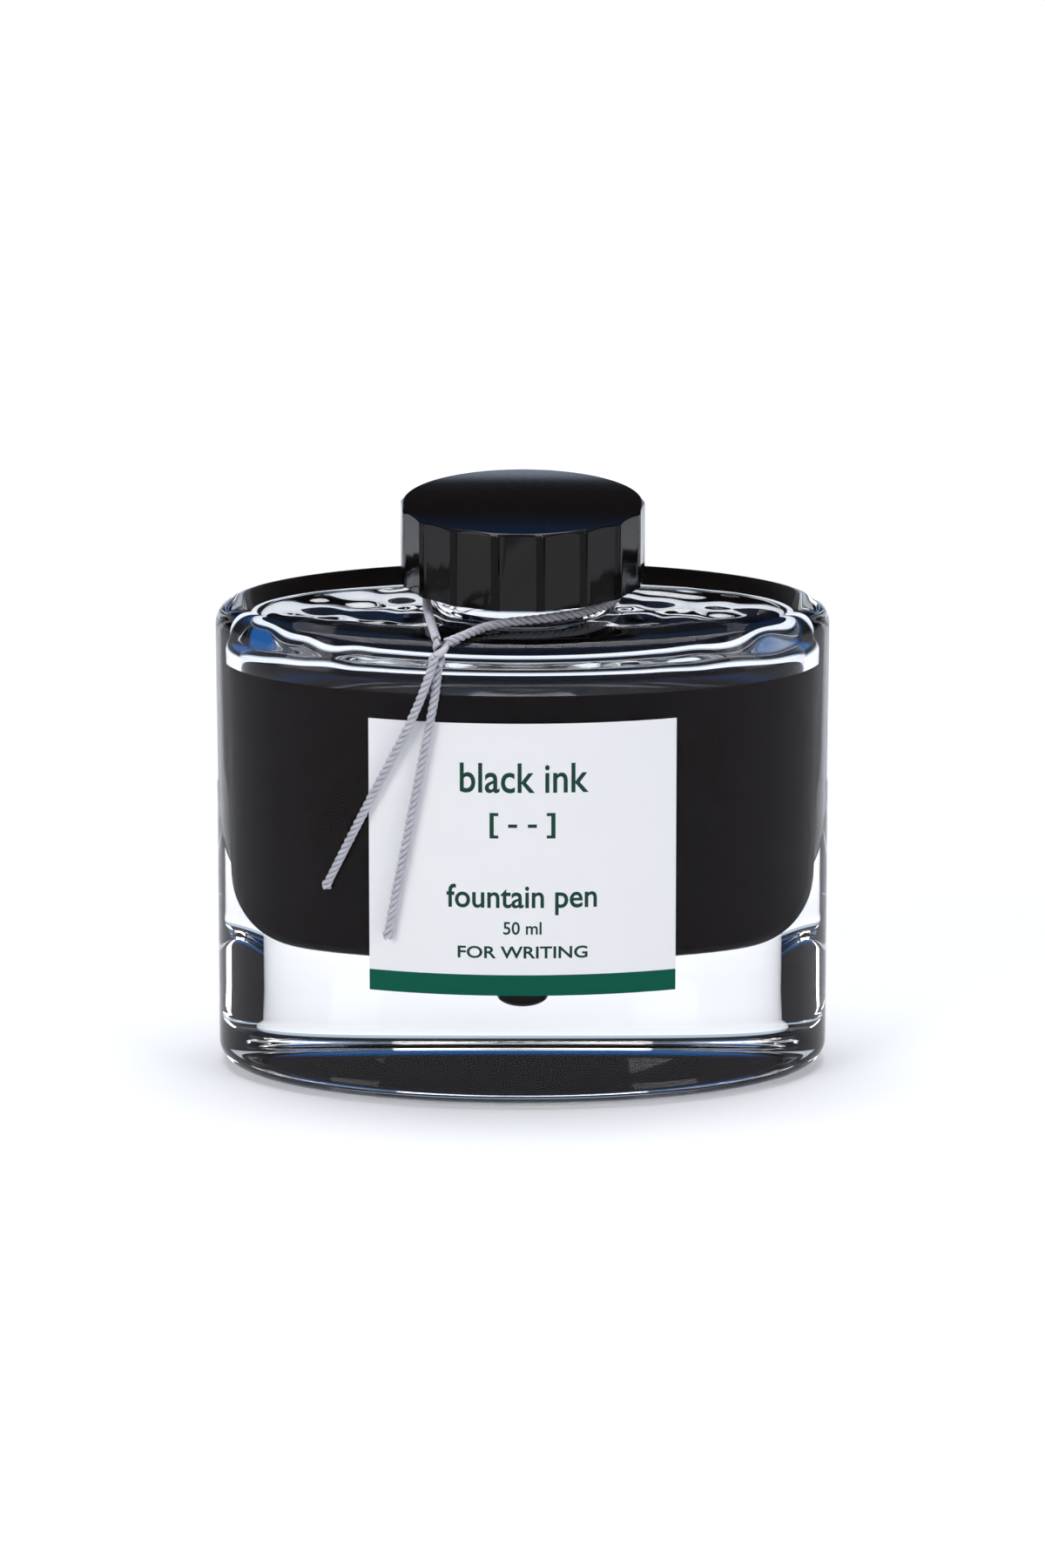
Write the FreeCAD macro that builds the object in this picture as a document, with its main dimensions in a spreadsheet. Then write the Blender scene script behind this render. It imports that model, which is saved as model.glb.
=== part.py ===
"""A glass inkwell: an oval, thick-based bottle of fountain-pen ink with a faceted screw cap.

The model is a parametric FreeCAD document in millimetres. +Z is up, +X is to the right of the
label and the label faces -Y. The origin is the centre of the foot, on the surface it stands on.
Driving sizes are in the spreadsheet "Sizes", and the pieces are bound to its cells.
"""
import FreeCAD
import Part
import Sketcher

import math
import os

App = FreeCAD
V = App.Vector

# ---------------------------------------------------------------------------- driving sizes

SIZES = {
    # glass body: an upright prism on an ellipse
    "body_half_width": 39.5,
    "body_half_depth": 20.2,
    "shoulder_height": 62.4,
    "rim_round": 3.0,
    "base_round": 3.3,
    "foot_width": 2.6,
    "push_up": 0.8,
    "push_up_round": 0.5,
    # neck, plain below and threaded above
    "neck_radius": 11.6,
    "neck_height": 9.6,
    "neck_root_round": 1.0,
    "lip_round": 0.5,
    "mouth_radius": 8.75,
    # screw thread shared by the neck and the cap's insert
    "thread_pitch": 3.2,
    "thread_depth": 1.1,
    "thread_root_width": 1.7,
    "thread_crest_width": 0.8,
    "thread_start": 4.4,
    "thread_gap": 0.3,
    # the hollow for the ink
    "side_wall": 4.5,
    "face_wall": 7.2,
    "base_thickness": 17.3,
    "shoulder_thickness": 3.4,
    "wall_taper_side": 0.7,
    "wall_taper_face": 0.7,
    "floor_corner_side": 7.75,
    "floor_corner_face": 6.5,
    "floor_corner_rise": 8.5,
    "roof_corner": 3.5,
    "throat_flare": 0.7,
    "throat_rise": 0.9,
    "well_radius": 6.0,
    "well_tip_radius": 3.0,
    "well_depth": 7.4,
    # ink
    "ink_level": 53.7,
    "ink_gap": 0.05,
    # label
    "label_half_width": 19.6,
    "label_bottom": 15.6,
    "label_top_gap": 7.4,
    "label_thickness": 0.12,
    "glue_line": 0.06,
    # cap: a faceted outer shell over a threaded insert with a loose sealing disc
    "cap_radius": 15.7,
    "cap_facets": 17,
    "facet_share": 0.9,
    "facet_turn": -7.8,
    "cap_top_bevel": 0.45,
    "cap_skirt_gap": 3.0,
    "shell_top": 1.5,
    "insert_wall": 1.05,
    "insert_top": 0.9,
    "insert_recess": 0.4,
    "insert_gap": 0.05,
    "liner_thickness": 1.2,
    "liner_gap": 0.2,
    "mouth_bevel": 0.3,
    # cord
    "cord_diameter": 1.2,
    "neck_turn_gap": 0.1,
    "knot_half_width": 1.15,
    "knot_half_depth": 1.6,
    "knot_half_height": 1.5,
}

# Places that follow from the sizes: each is a formula in the same spreadsheet.
DERIVED = {
    "lip_z": "=shoulder_height + neck_height",
    "label_height": "=shoulder_height - rim_round - label_top_gap - label_bottom",
    "thread_z": "=shoulder_height + thread_start",
    "thread_turns": "=(neck_height - thread_start - thread_root_width / 2 - lip_round) / thread_pitch",
    "cavity_half_width": "=body_half_width - side_wall",
    "cavity_half_depth": "=body_half_depth - face_wall",
    "cavity_roof": "=shoulder_height - shoulder_thickness",
    "cavity_eaves": "=shoulder_height - shoulder_thickness - roof_corner",
    "liner_top_z": "=shoulder_height + neck_height + liner_thickness",
    "insert_top_z": "=shoulder_height + neck_height + liner_thickness + insert_top",
    "cap_top_z": "=shoulder_height + neck_height + liner_thickness + insert_top + shell_top",
    "cap_bottom_z": "=shoulder_height + cap_skirt_gap",
    "insert_bottom_z": "=shoulder_height + cap_skirt_gap + insert_recess",
    "facet_depth": "=cap_radius * (1 - cos(180 deg / cap_facets)) * facet_share",
    "insert_bore": "=neck_radius + thread_depth + thread_gap",
    "insert_radius": "=neck_radius + thread_depth + thread_gap + insert_wall",
    "shell_bore": "=neck_radius + thread_depth + thread_gap + insert_wall + insert_gap",
    "liner_radius": "=neck_radius + thread_depth + thread_gap - liner_gap",
}

# Where the cord runs, chosen by hand. On the shoulder a place is given as: X, the share of the
# way from the neck to the front face, and the height above the shoulder. In front of the face
# it is: X, how far the cord's back is from the glass, and the drop below the shoulder.
STRAND_RIGHT = [(-9.7, 0.98, 0.25), (-7.4, 0.8, 0.75), (-3.9, 0.26, 0.95)]
STRAND_LEFT = [(-12.0, -0.244, 0.85), (-11.4, 0.43, 0.85), (-10.9, 0.895, 0.5)]
NECK_TURN_LIFTS = (1.2, 1.15, 1.1, 1.05, 1.0, 1.0, 1.0, 1.0, 1.0, 1.0)
NECK_TURN_FROM = -75.0
NECK_TURN_STEP = 30.0
KNOT_PLACE = (-10.5, 0.2, 0.0)
TAIL_LEFT = [
    (-11.0, 1.45, 1.1),
    (-12.2, 1.37, 5.2),
    (-14.7, 0.72, 11.4),
    (-18.3, 0.42, 18.7),
    (-22.1, 0.34, 26.7),
    (-25.2, 0.34, 33.4),
]
TAIL_RIGHT = [
    (-10.6, 0.35, 1.4),
    (-10.8, 0.35, 5.3),
    (-11.9, 0.3, 11.0),
    (-13.4, 0.3, 18.9),
    (-14.8, 0.3, 26.1),
    (-16.2, 0.3, 33.3),
    (-17.3, 0.3, 39.4),
]

# Rough first sizes for sketch geometry, before its constraints pull it to the right ones.
GUESS_RADIUS = 5.0
GUESS_HALF_WIDTH = 20.0
GUESS_HALF_DEPTH = 10.0
GUESS_CENTRE = 3.0
GUESS_REACH = 2.0

# How close two heights or radii count as the same, and the least volume that counts as a cut.
SAME_HEIGHT = 1e-4
SAME_RADIUS = 1e-3
LEAST_CUT = 1e-6

# The share of the shorter run beside a corner of the cord's route that its arc takes up, and
# how far a tube's volume may be from its section times its length.
ARC_SHARE = 0.45
VOLUME_TOLERANCE = 0.01

doc = App.newDocument("Inkwell")


# ---------------------------------------------------------------------------- helpers


def make_sheet():
    """Fill the spreadsheet: plain numbers first, then the formulas that use them."""
    sheet = doc.addObject("Spreadsheet::Sheet", "Sizes")
    for row, (name, value) in enumerate([*SIZES.items(), *DERIVED.items()], start=1):
        sheet.set(f"A{row}", name)
        sheet.set(f"B{row}", str(value))
        sheet.setAlias(f"B{row}", name)
    doc.recompute()
    return sheet


def size(name):
    """The value of a cell, as a float."""
    return float(getattr(sheet, name))


def bind(thing, **formulas):
    """Bind properties of an object to formulas; a bare word such as neck_radius is a cell."""
    for prop, formula in formulas.items():
        thing.setExpression(prop.replace("__", "."), to_cells(formula))


def to_cells(formula):
    """Write each size's name in a formula as a reference to its cell."""
    words = []
    for word in formula.split():
        words.append(f"Sizes.{word}" if word in SIZES or word in DERIVED else word)
    return " ".join(words)


def new_body(name):
    """A PartDesign body with a label that names its file."""
    body = doc.addObject("PartDesign::Body", name)
    body.Label = name
    return body


def plane_of(body, role):
    """One of a body's own origin planes or axes, found by its role."""
    return next(f for f in body.Origin.OriginFeatures if f.Role == role)


def new_sketch(body, name, role="XY_Plane", height=None):
    """An empty sketch on one of a body's origin planes, raised to a height if one is given."""
    sketch = body.newObject("Sketcher::SketchObject", name)
    sketch.AttachmentSupport = [(plane_of(body, role), "")]
    sketch.MapMode = "FlatFace"
    if height:
        bind(sketch, AttachmentOffset__Base__z=height)
    return sketch


def draw_circle(sketch, radius):
    """A circle about the sketch's origin, its radius bound to a formula."""
    index = sketch.addGeometry(Part.Circle(V(0, 0, 0), V(0, 0, 1), GUESS_RADIUS))
    sketch.addConstraint(Sketcher.Constraint("Coincident", index, 3, -1, 1))
    at = sketch.addConstraint(Sketcher.Constraint("Radius", index, GUESS_RADIUS))
    sketch.setExpression(f"Constraints[{at}]", to_cells(radius))


def draw_ellipse(sketch, half_x, half_y):
    """An ellipse about the sketch's origin, wider along X, its half axes bound to formulas."""
    ends = V(GUESS_HALF_WIDTH, 0, 0), V(0, GUESS_HALF_DEPTH, 0)
    index = sketch.addGeometry(Part.Ellipse(*ends, V(0, 0, 0)))
    sketch.exposeInternalGeometry(index)
    major, minor = index + 1, index + 2
    sketch.addConstraint(Sketcher.Constraint("Coincident", index, 3, -1, 1))
    sketch.addConstraint(Sketcher.Constraint("Horizontal", major))
    for line, half in ((major, half_x), (minor, half_y)):
        at = sketch.addConstraint(Sketcher.Constraint("Distance", line, GUESS_HALF_WIDTH))
        sketch.setExpression(f"Constraints[{at}]", to_cells(f"2 * ( {half} )"))


def draw_outline(sketch, corners):
    """A closed outline of straight sides. Each corner is a pair of formulas for its place."""
    count = len(corners)
    guess = []
    for k in range(count):
        angle = 2 * math.pi * k / count
        guess.append((GUESS_CENTRE + GUESS_REACH * math.cos(angle),
                      GUESS_CENTRE + GUESS_REACH * math.sin(angle)))
    for k in range(count):
        sketch.addGeometry(Part.LineSegment(V(*guess[k], 0), V(*guess[(k + 1) % count], 0)))
    for k in range(count):
        sketch.addConstraint(Sketcher.Constraint("Coincident", k, 2, (k + 1) % count, 1))
    for k, corner in enumerate(corners):
        for kind, formula, start in zip(("DistanceX", "DistanceY"), corner, guess[k]):
            at = sketch.addConstraint(Sketcher.Constraint(kind, -1, 1, k, 1, start))
            sketch.setExpression(f"Constraints[{at}]", to_cells(formula))


def pad(body, name, sketch, length):
    """Pad a sketch by a length given as a formula."""
    feature = body.newObject("PartDesign::Pad", name)
    feature.Profile = sketch
    bind(feature, Length=length)
    doc.recompute()
    return feature


def pocket(body, name, sketch, depth, upward=False):
    """Cut a sketch downwards, or upwards, and make sure that it did cut."""
    before = body.Shape.Volume
    feature = body.newObject("PartDesign::Pocket", name)
    feature.Profile = sketch
    feature.Reversed = upward
    bind(feature, Length=depth)
    doc.recompute()
    if not body.Shape.Volume < before - LEAST_CUT:
        raise RuntimeError(f"{name} cut nothing")
    return feature


def edges_at(shape, height, radius=None):
    """Names of the closed edges that lie level at a height, of one radius if it is given."""
    names = []
    for k, edge in enumerate(shape.Edges, start=1):
        box = edge.BoundBox
        level = abs(box.ZMin - height) < SAME_HEIGHT and abs(box.ZMax - height) < SAME_HEIGHT
        if level and edge.isClosed():
            if radius is None or abs(box.XLength / 2 - radius) < SAME_RADIUS:
                names.append(f"Edge{k}")
    return names


def dress(body, kind, name, base, edges, width):
    """Fillet or chamfer edges of a feature by a width given as a formula."""
    if not edges:
        raise RuntimeError(f"{name} found no edge")
    feature = body.newObject(f"PartDesign::{kind}", name)
    feature.Base = (base, edges)
    bind(feature, **{"Radius" if kind == "Fillet" else "Size": width})
    doc.recompute()
    return feature


def helix_rib(body, name, sketch, pitch, turns):
    """A rib along a right-handed helix about the body's Z axis."""
    feature = body.newObject("PartDesign::AdditiveHelix", name)
    feature.Profile = sketch
    feature.ReferenceAxis = (plane_of(body, "Z_Axis"), [""])
    feature.Mode = "pitch-turns-angle"
    bind(feature, Pitch=pitch, Turns=turns)
    feature.LeftHanded = False
    feature.Reversed = False
    doc.recompute()
    return feature


# ---------------------------------------------------------------------------- glass bottle


def make_outer_glass():
    """The bottle as a solid block: oval body, neck and thread, with the foot's push-up."""
    body = new_body("outer_glass")

    plan = new_sketch(body, "BodyPlan")
    draw_ellipse(plan, "body_half_width", "body_half_depth")
    block = pad(body, "Block", plan, "shoulder_height")
    rim = edges_at(block.Shape, size("shoulder_height"))
    rounded = dress(body, "Fillet", "RimRound", block, rim, "rim_round")
    foot = edges_at(rounded.Shape, 0.0)
    dress(body, "Fillet", "BaseRound", rounded, foot, "base_round")

    hollow = new_sketch(body, "PushUpPlan")
    draw_ellipse(
        hollow,
        "body_half_width - base_round - foot_width",
        "body_half_depth - base_round - foot_width",
    )
    push_up = pocket(body, "PushUp", hollow, "push_up", upward=True)
    soft = edges_at(push_up.Shape, size("push_up"))
    dress(body, "Fillet", "PushUpRound", push_up, soft, "push_up_round")

    ring = new_sketch(body, "NeckPlan", height="shoulder_height - rim_round")
    draw_circle(ring, "neck_radius")
    neck = pad(body, "Neck", ring, "neck_height + rim_round")
    root = edges_at(neck.Shape, size("shoulder_height"), size("neck_radius"))
    flared = dress(body, "Fillet", "NeckRoot", neck, root, "neck_root_round")
    lip = edges_at(flared.Shape, size("lip_z"), size("neck_radius"))
    dress(body, "Fillet", "LipRound", flared, lip, "lip_round")

    tooth = new_sketch(body, "ThreadTooth", "XZ_Plane")
    root_x = "neck_radius - thread_gap"
    crest_x = "neck_radius + thread_depth"
    draw_outline(tooth, [
        (root_x, "thread_z - thread_root_width / 2"),
        (crest_x, "thread_z - thread_crest_width / 2"),
        (crest_x, "thread_z + thread_crest_width / 2"),
        (root_x, "thread_z + thread_root_width / 2"),
    ])
    helix_rib(body, "NeckThread", tooth, "thread_pitch", "thread_turns")
    return body


def cavity_stretches():
    """Level sections of the hollow in three stretches: floor corner, walls and roof corner.

    A section is its height, half width, half depth and slope. The first three are formulas. The
    slope is how far the wall there faces up (1) or down (-1). The stretches share their ends.
    """
    wall_x = "( cavity_half_width - wall_taper_side )"
    wall_y = "( cavity_half_depth - wall_taper_face )"
    floor_corner = []
    for angle in (0, 15, 30, 45, 60, 75, 90):
        inward = 1 - math.sin(math.radians(angle))
        level = math.cos(math.radians(angle))
        floor_corner.append((
            f"base_thickness + floor_corner_rise * {1 - level:.6f}",
            f"{wall_x} - floor_corner_side * {inward:.6f}",
            f"{wall_y} - floor_corner_face * {inward:.6f}",
            level,
        ))
    roof_corner = []
    for angle in (0, 18, 36, 54, 72, 90):
        inward = 1 - math.cos(math.radians(angle))
        rise = math.sin(math.radians(angle))
        roof_corner.append((
            f"cavity_eaves + roof_corner * {rise:.6f}",
            f"cavity_half_width - roof_corner * {inward:.6f}",
            f"cavity_half_depth - roof_corner * {inward:.6f}",
            -rise,
        ))
    return floor_corner, [floor_corner[-1], roof_corner[0]], roof_corner


def level_ellipse(name, height, half_x, half_y):
    """A level ellipse about the Z axis, or a circle where its two half axes are equal."""
    curve = doc.addObject("Part::Ellipse", name)
    bind(curve, MajorRadius=half_x, MinorRadius=half_y, Placement__Base__z=height)
    return curve


def loft(name, curves, ruled=False):
    """A closed solid through level curves."""
    solid = doc.addObject("Part::Loft", name)
    solid.Sections = curves
    solid.Solid = True
    solid.Ruled = ruled
    return solid


def make_hollow(prefix, inset):
    """The space inside the bottle up to its roof, smaller all round by an inset formula."""
    stretches = []
    for part, stretch in zip(("Floor", "Walls", "Roof"), cavity_stretches()):
        curves = []
        for k, (height, half_x, half_y, slope) in enumerate(stretch):
            curves.append(level_ellipse(
                f"{prefix}{part}{k}",
                f"{height} + {inset} * {slope:.6f}",
                f"{half_x} - {inset}",
                f"{half_y} - {inset}",
            ))
        stretches.append(loft(f"{prefix}{part}", curves))
    well = doc.addObject("Part::Cone", f"{prefix}Well")
    bind(
        well,
        Radius1=f"well_tip_radius - {inset}",
        Radius2=f"well_radius - {inset}",
        Height="well_depth - well_tip_radius / 2",
        Placement__Base__z="base_thickness - well_depth + well_tip_radius / 2 "
        f"+ {inset}",
    )
    tip = doc.addObject("Part::Ellipsoid", f"{prefix}WellTip")
    bind(
        tip,
        Radius1=f"well_tip_radius / 2 - {inset} / 2",
        Radius2=f"well_tip_radius - {inset}",
        Radius3=f"well_tip_radius - {inset}",
        Placement__Base__z="base_thickness - well_depth + well_tip_radius / 2 "
        f"+ {inset}",
    )
    space = doc.addObject("Part::MultiFuse", f"{prefix}Space")
    space.Shapes = [*stretches, well, tip]
    doc.recompute()
    return space


def make_glass_bottle():
    """The finished bottle: the block less the ink's hollow, the throat and the mouth."""
    outer = make_outer_glass()
    space = make_hollow("Cavity", "0")
    throat = "( mouth_radius + throat_flare )"
    funnel = loft("Throat", [
        level_ellipse("ThroatFoot", "cavity_roof", throat, throat),
        level_ellipse("ThroatTop", "cavity_roof + throat_rise", "mouth_radius", "mouth_radius"),
    ], ruled=True)
    mouth = doc.addObject("Part::Cylinder", "Mouth")
    bind(
        mouth,
        Radius="mouth_radius",
        Height="neck_height + shoulder_thickness",
        Placement__Base__z="cavity_roof + throat_rise",
    )
    hollow = doc.addObject("Part::MultiFuse", "Hollow")
    hollow.Shapes = [space, funnel, mouth]
    bottle = doc.addObject("Part::Cut", "glass_bottle")
    bottle.Base = outer
    bottle.Tool = hollow
    doc.recompute()
    return bottle


def make_ink():
    """The ink, a hair clear of the glass, up to its level."""
    space = make_hollow("Ink", "ink_gap")
    below = doc.addObject("Part::Box", "BelowTheLevel")
    bind(
        below,
        Length="2 * body_half_width",
        Width="2 * body_half_depth",
        Height="ink_level",
        Placement__Base__x="-1 * body_half_width",
        Placement__Base__y="-1 * body_half_depth",
    )
    ink = doc.addObject("Part::Common", "ink_fill")
    ink.Base = space
    ink.Tool = below
    doc.recompute()
    return ink


# ---------------------------------------------------------------------------- label


def oval_prism(name, out):
    """An upright oval prism that stands out from the body's side by a formula."""
    edge = level_ellipse(f"{name}Edge", "label_bottom",
                         f"body_half_width + {out}", f"body_half_depth + {out}")
    prism = doc.addObject("Part::Extrusion", name)
    prism.Base = edge
    prism.DirMode = "Custom"
    prism.Dir = V(0, 0, 1)
    prism.Solid = True
    bind(prism, LengthFwd="label_height")
    return prism


def make_label():
    """The paper label, bent round the front of the body."""
    sleeve = doc.addObject("Part::Cut", "LabelSleeve")
    sleeve.Base = oval_prism("LabelOut", "glue_line + label_thickness")
    sleeve.Tool = oval_prism("LabelIn", "glue_line")
    front = doc.addObject("Part::Box", "LabelFront")
    bind(
        front,
        Length="2 * label_half_width",
        Width="2 * body_half_depth",
        Height="label_height",
        Placement__Base__x="-1 * label_half_width",
        Placement__Base__y="-2 * body_half_depth",
        Placement__Base__z="label_bottom",
    )
    label = doc.addObject("Part::Common", "front_label")
    label.Base = sleeve
    label.Tool = front
    doc.recompute()
    return label


# ---------------------------------------------------------------------------- cap


def make_cap_shell():
    """The outer cap: a round with a bevelled top, its side cut into flat facets."""
    body = new_body("cap_shell")
    disc = new_sketch(body, "CapPlan", height="cap_bottom_z")
    draw_circle(disc, "cap_radius")
    drum = pad(body, "Drum", disc, "cap_top_z - cap_bottom_z")
    top = edges_at(drum.Shape, size("cap_top_z"))
    dress(body, "Chamfer", "TopBevel", drum, top, "cap_top_bevel")

    flat = new_sketch(body, "FacetPlan", height="cap_bottom_z")
    draw_outline(flat, [
        ("cap_radius - facet_depth", "-1 * cap_radius / 2"),
        ("cap_radius + facet_depth", "-1 * cap_radius / 2"),
        ("cap_radius + facet_depth", "cap_radius / 2"),
        ("cap_radius - facet_depth", "cap_radius / 2"),
    ])
    facet = pocket(body, "Facet", flat, "cap_top_z - cap_bottom_z", upward=True)
    ring = body.newObject("PartDesign::PolarPattern", "Facets")
    ring.Originals = [facet]
    ring.Axis = (plane_of(body, "Z_Axis"), [""])
    ring.Angle = 360
    bind(ring, Occurrences="cap_facets")
    body.Tip = ring
    doc.recompute()

    bore = new_sketch(body, "ShellBorePlan", height="cap_bottom_z")
    draw_circle(bore, "shell_bore")
    inside = pocket(body, "ShellBore", bore, "insert_top_z - cap_bottom_z", upward=True)
    mouth = edges_at(inside.Shape, size("cap_bottom_z"), size("shell_bore"))
    dress(body, "Chamfer", "ShellMouth", inside, mouth, "mouth_bevel")
    bind(body, Placement__Rotation__Angle="facet_turn * 1 deg")
    doc.recompute()
    return body


def make_insert():
    """The threaded insert inside the cap. It is turned so that its thread lies between the
    turns of the neck's thread."""
    body = new_body("cap_thread_insert")
    disc = new_sketch(body, "InsertPlan", height="insert_bottom_z")
    draw_circle(disc, "insert_radius")
    cup = pad(body, "Cup", disc, "insert_top_z - insert_bottom_z")
    top = edges_at(cup.Shape, size("insert_top_z"))
    dress(body, "Chamfer", "CupTopBevel", cup, top, "mouth_bevel")
    bore = new_sketch(body, "InsertBorePlan", height="insert_bottom_z")
    draw_circle(bore, "insert_bore")
    inside = pocket(body, "InsertBore", bore, "liner_top_z - insert_bottom_z", upward=True)
    mouth = edges_at(inside.Shape, size("insert_bottom_z"), size("insert_bore"))
    dress(body, "Chamfer", "InsertMouth", inside, mouth, "mouth_bevel")

    tooth = new_sketch(body, "InsertTooth", "XZ_Plane")
    start = "insert_bottom_z + mouth_bevel + thread_root_width / 2"
    root_x = "insert_bore + thread_gap"
    crest_x = "neck_radius + thread_gap"
    draw_outline(tooth, [
        (root_x, f"{start} - thread_root_width / 2"),
        (root_x, f"{start} + thread_root_width / 2"),
        (crest_x, f"{start} + thread_crest_width / 2"),
        (crest_x, f"{start} - thread_crest_width / 2"),
    ])
    helix_rib(body, "InsertThread", tooth, "thread_pitch", "thread_turns")
    drop = f"( thread_z + thread_pitch / 2 - ( {start} ) ) / thread_pitch"
    bind(body, Placement__Rotation__Angle=f"-360 deg * {drop}")
    body.Placement.Rotation.Axis = V(0, 0, 1)
    doc.recompute()
    return body


def make_liner():
    """The loose sealing disc between the glass lip and the insert."""
    body = new_body("cap_liner")
    disc = new_sketch(body, "LinerPlan", height="lip_z")
    draw_circle(disc, "liner_radius")
    pad(body, "Disc", disc, "liner_thickness")
    return body


# ---------------------------------------------------------------------------- cord


def on_shoulder(x, share, lift):
    """A place over the shoulder, a share of the way from the neck to the front face."""
    neck, face = size("neck_radius"), size("body_half_depth")
    return (x, -(neck + share * (face - neck)), size("shoulder_height") + lift)


def before_face(x, gap, drop):
    """A place for the cord in front of the curved face, below the shoulder."""
    half_width, half_depth = size("body_half_width"), size("body_half_depth")
    face = half_depth * math.sqrt(1 - (x / half_width) ** 2)
    return (x, -(face + gap + size("cord_diameter") / 2), size("shoulder_height") - drop)


def neck_turn():
    """Corners of the turn round the neck, just outside the circle that the cord lies on."""
    lies_on = size("neck_radius") + size("cord_diameter") / 2 + size("neck_turn_gap")
    corner = lies_on / math.cos(math.radians(NECK_TURN_STEP / 2))
    points = []
    for k, lift in enumerate(NECK_TURN_LIFTS):
        angle = math.radians(NECK_TURN_FROM + k * NECK_TURN_STEP)
        height = size("shoulder_height") + lift
        points.append((corner * math.cos(angle), corner * math.sin(angle), height))
    return points


def cord_path(name, points):
    """A wire of straight runs joined by tangent arcs, each as large as its two runs allow."""
    spots = [V(*p) for p in points]
    edges, radii = [], []
    here = spots[0]
    for before, corner, after in zip(spots, spots[1:], spots[2:]):
        back, ahead = before - corner, after - corner
        reach = ARC_SHARE * min(back.Length, ahead.Length)
        half_turn = (math.pi - back.getAngle(ahead)) / 2
        start = corner + V(back).normalize() * reach
        end = corner + V(ahead).normalize() * reach
        radius = reach / math.tan(half_turn)
        inward = (V(back).normalize() + V(ahead).normalize()).normalize()
        centre_far = math.hypot(radius, reach)
        middle = corner + inward * (centre_far - radius)
        edges.append(Part.LineSegment(here, start).toShape())
        edges.append(Part.Arc(start, middle, end).toShape())
        radii.append(radius)
        here = end
    edges.append(Part.LineSegment(here, spots[-1]).toShape())
    print(f"{name}: arc radii {[round(r, 1) for r in radii]} mm,"
          f" length {sum(e.Length for e in edges):.1f} mm")
    return Part.Wire(edges)


def make_cord(name, points):
    """A round tube along the cord's route, its volume checked against its length."""
    path = cord_path(name, points)
    radius = size("cord_diameter") / 2
    first = path.Edges[0]
    ring = Part.Wire(Part.Circle(first.valueAt(first.FirstParameter),
                                 first.tangentAt(first.FirstParameter), radius).toShape())
    tube = path.makePipeShell([ring], True, False)
    if tube.ShapeType != "Solid":
        tube = Part.Solid(tube)
    should_be = math.pi * radius ** 2 * path.Length
    if abs(abs(tube.Volume) - should_be) > VOLUME_TOLERANCE * should_be:
        raise RuntimeError(f"{name}: volume {tube.Volume:.3f}, and {should_be:.3f} is right")
    cord = doc.addObject("Part::Feature", name)
    cord.Shape = tube
    return cord


def make_knot():
    """The knot where the two strands cross over the rim."""
    knot = doc.addObject("Part::Ellipsoid", "cord_knot")
    bind(
        knot,
        Radius1="knot_half_height",
        Radius2="knot_half_width",
        Radius3="knot_half_depth",
    )
    knot.Placement = App.Placement(V(*before_face(*KNOT_PLACE)), App.Rotation())
    doc.recompute()
    return knot


# ---------------------------------------------------------------------------- all of it


def check_and_write(pieces):
    """Stop on any failed object or bad shape, and write one STEP file for each piece."""
    doc.recompute()
    for thing in doc.Objects:
        if {"Invalid", "Error"} & set(thing.State):
            raise RuntimeError(f"{thing.Name} failed: {thing.State}")
    os.makedirs("parts", exist_ok=True)
    for piece in pieces:
        shape = piece.Shape
        if shape.isNull() or not shape.isValid() or not shape.Solids:
            raise RuntimeError(f"{piece.Label} has no valid solid")
        shape.exportStep(os.path.join("parts", f"{piece.Label}.step"))
        print(f"{piece.Label}: {len(shape.Solids)} solid, {shape.Volume / 1000:.3f} ml")


sheet = make_sheet()
loop_route = [
    *(on_shoulder(*place) for place in STRAND_RIGHT),
    *neck_turn(),
    *(on_shoulder(*place) for place in STRAND_LEFT),
]
check_and_write([
    make_glass_bottle(),
    make_ink(),
    make_label(),
    make_cap_shell(),
    make_insert(),
    make_liner(),
    make_cord("cord_neck_loop", loop_route),
    make_knot(),
    make_cord("cord_tail_left", [before_face(*place) for place in TAIL_LEFT]),
    make_cord("cord_tail_right", [before_face(*place) for place in TAIL_RIGHT]),
])
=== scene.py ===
"""Studio scene of an oval ink bottle: thick clear glass, dark ink, a label, a faceted cap and a tied cord.

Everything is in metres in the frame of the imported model: +Z up, the label faces -Y.
"""
import logging
import math
from dataclasses import dataclass
from enum import Enum
from typing import Callable, Iterable, Sequence

import bpy
from mathutils import Matrix, Vector
from mathutils.kdtree import KDTree


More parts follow.
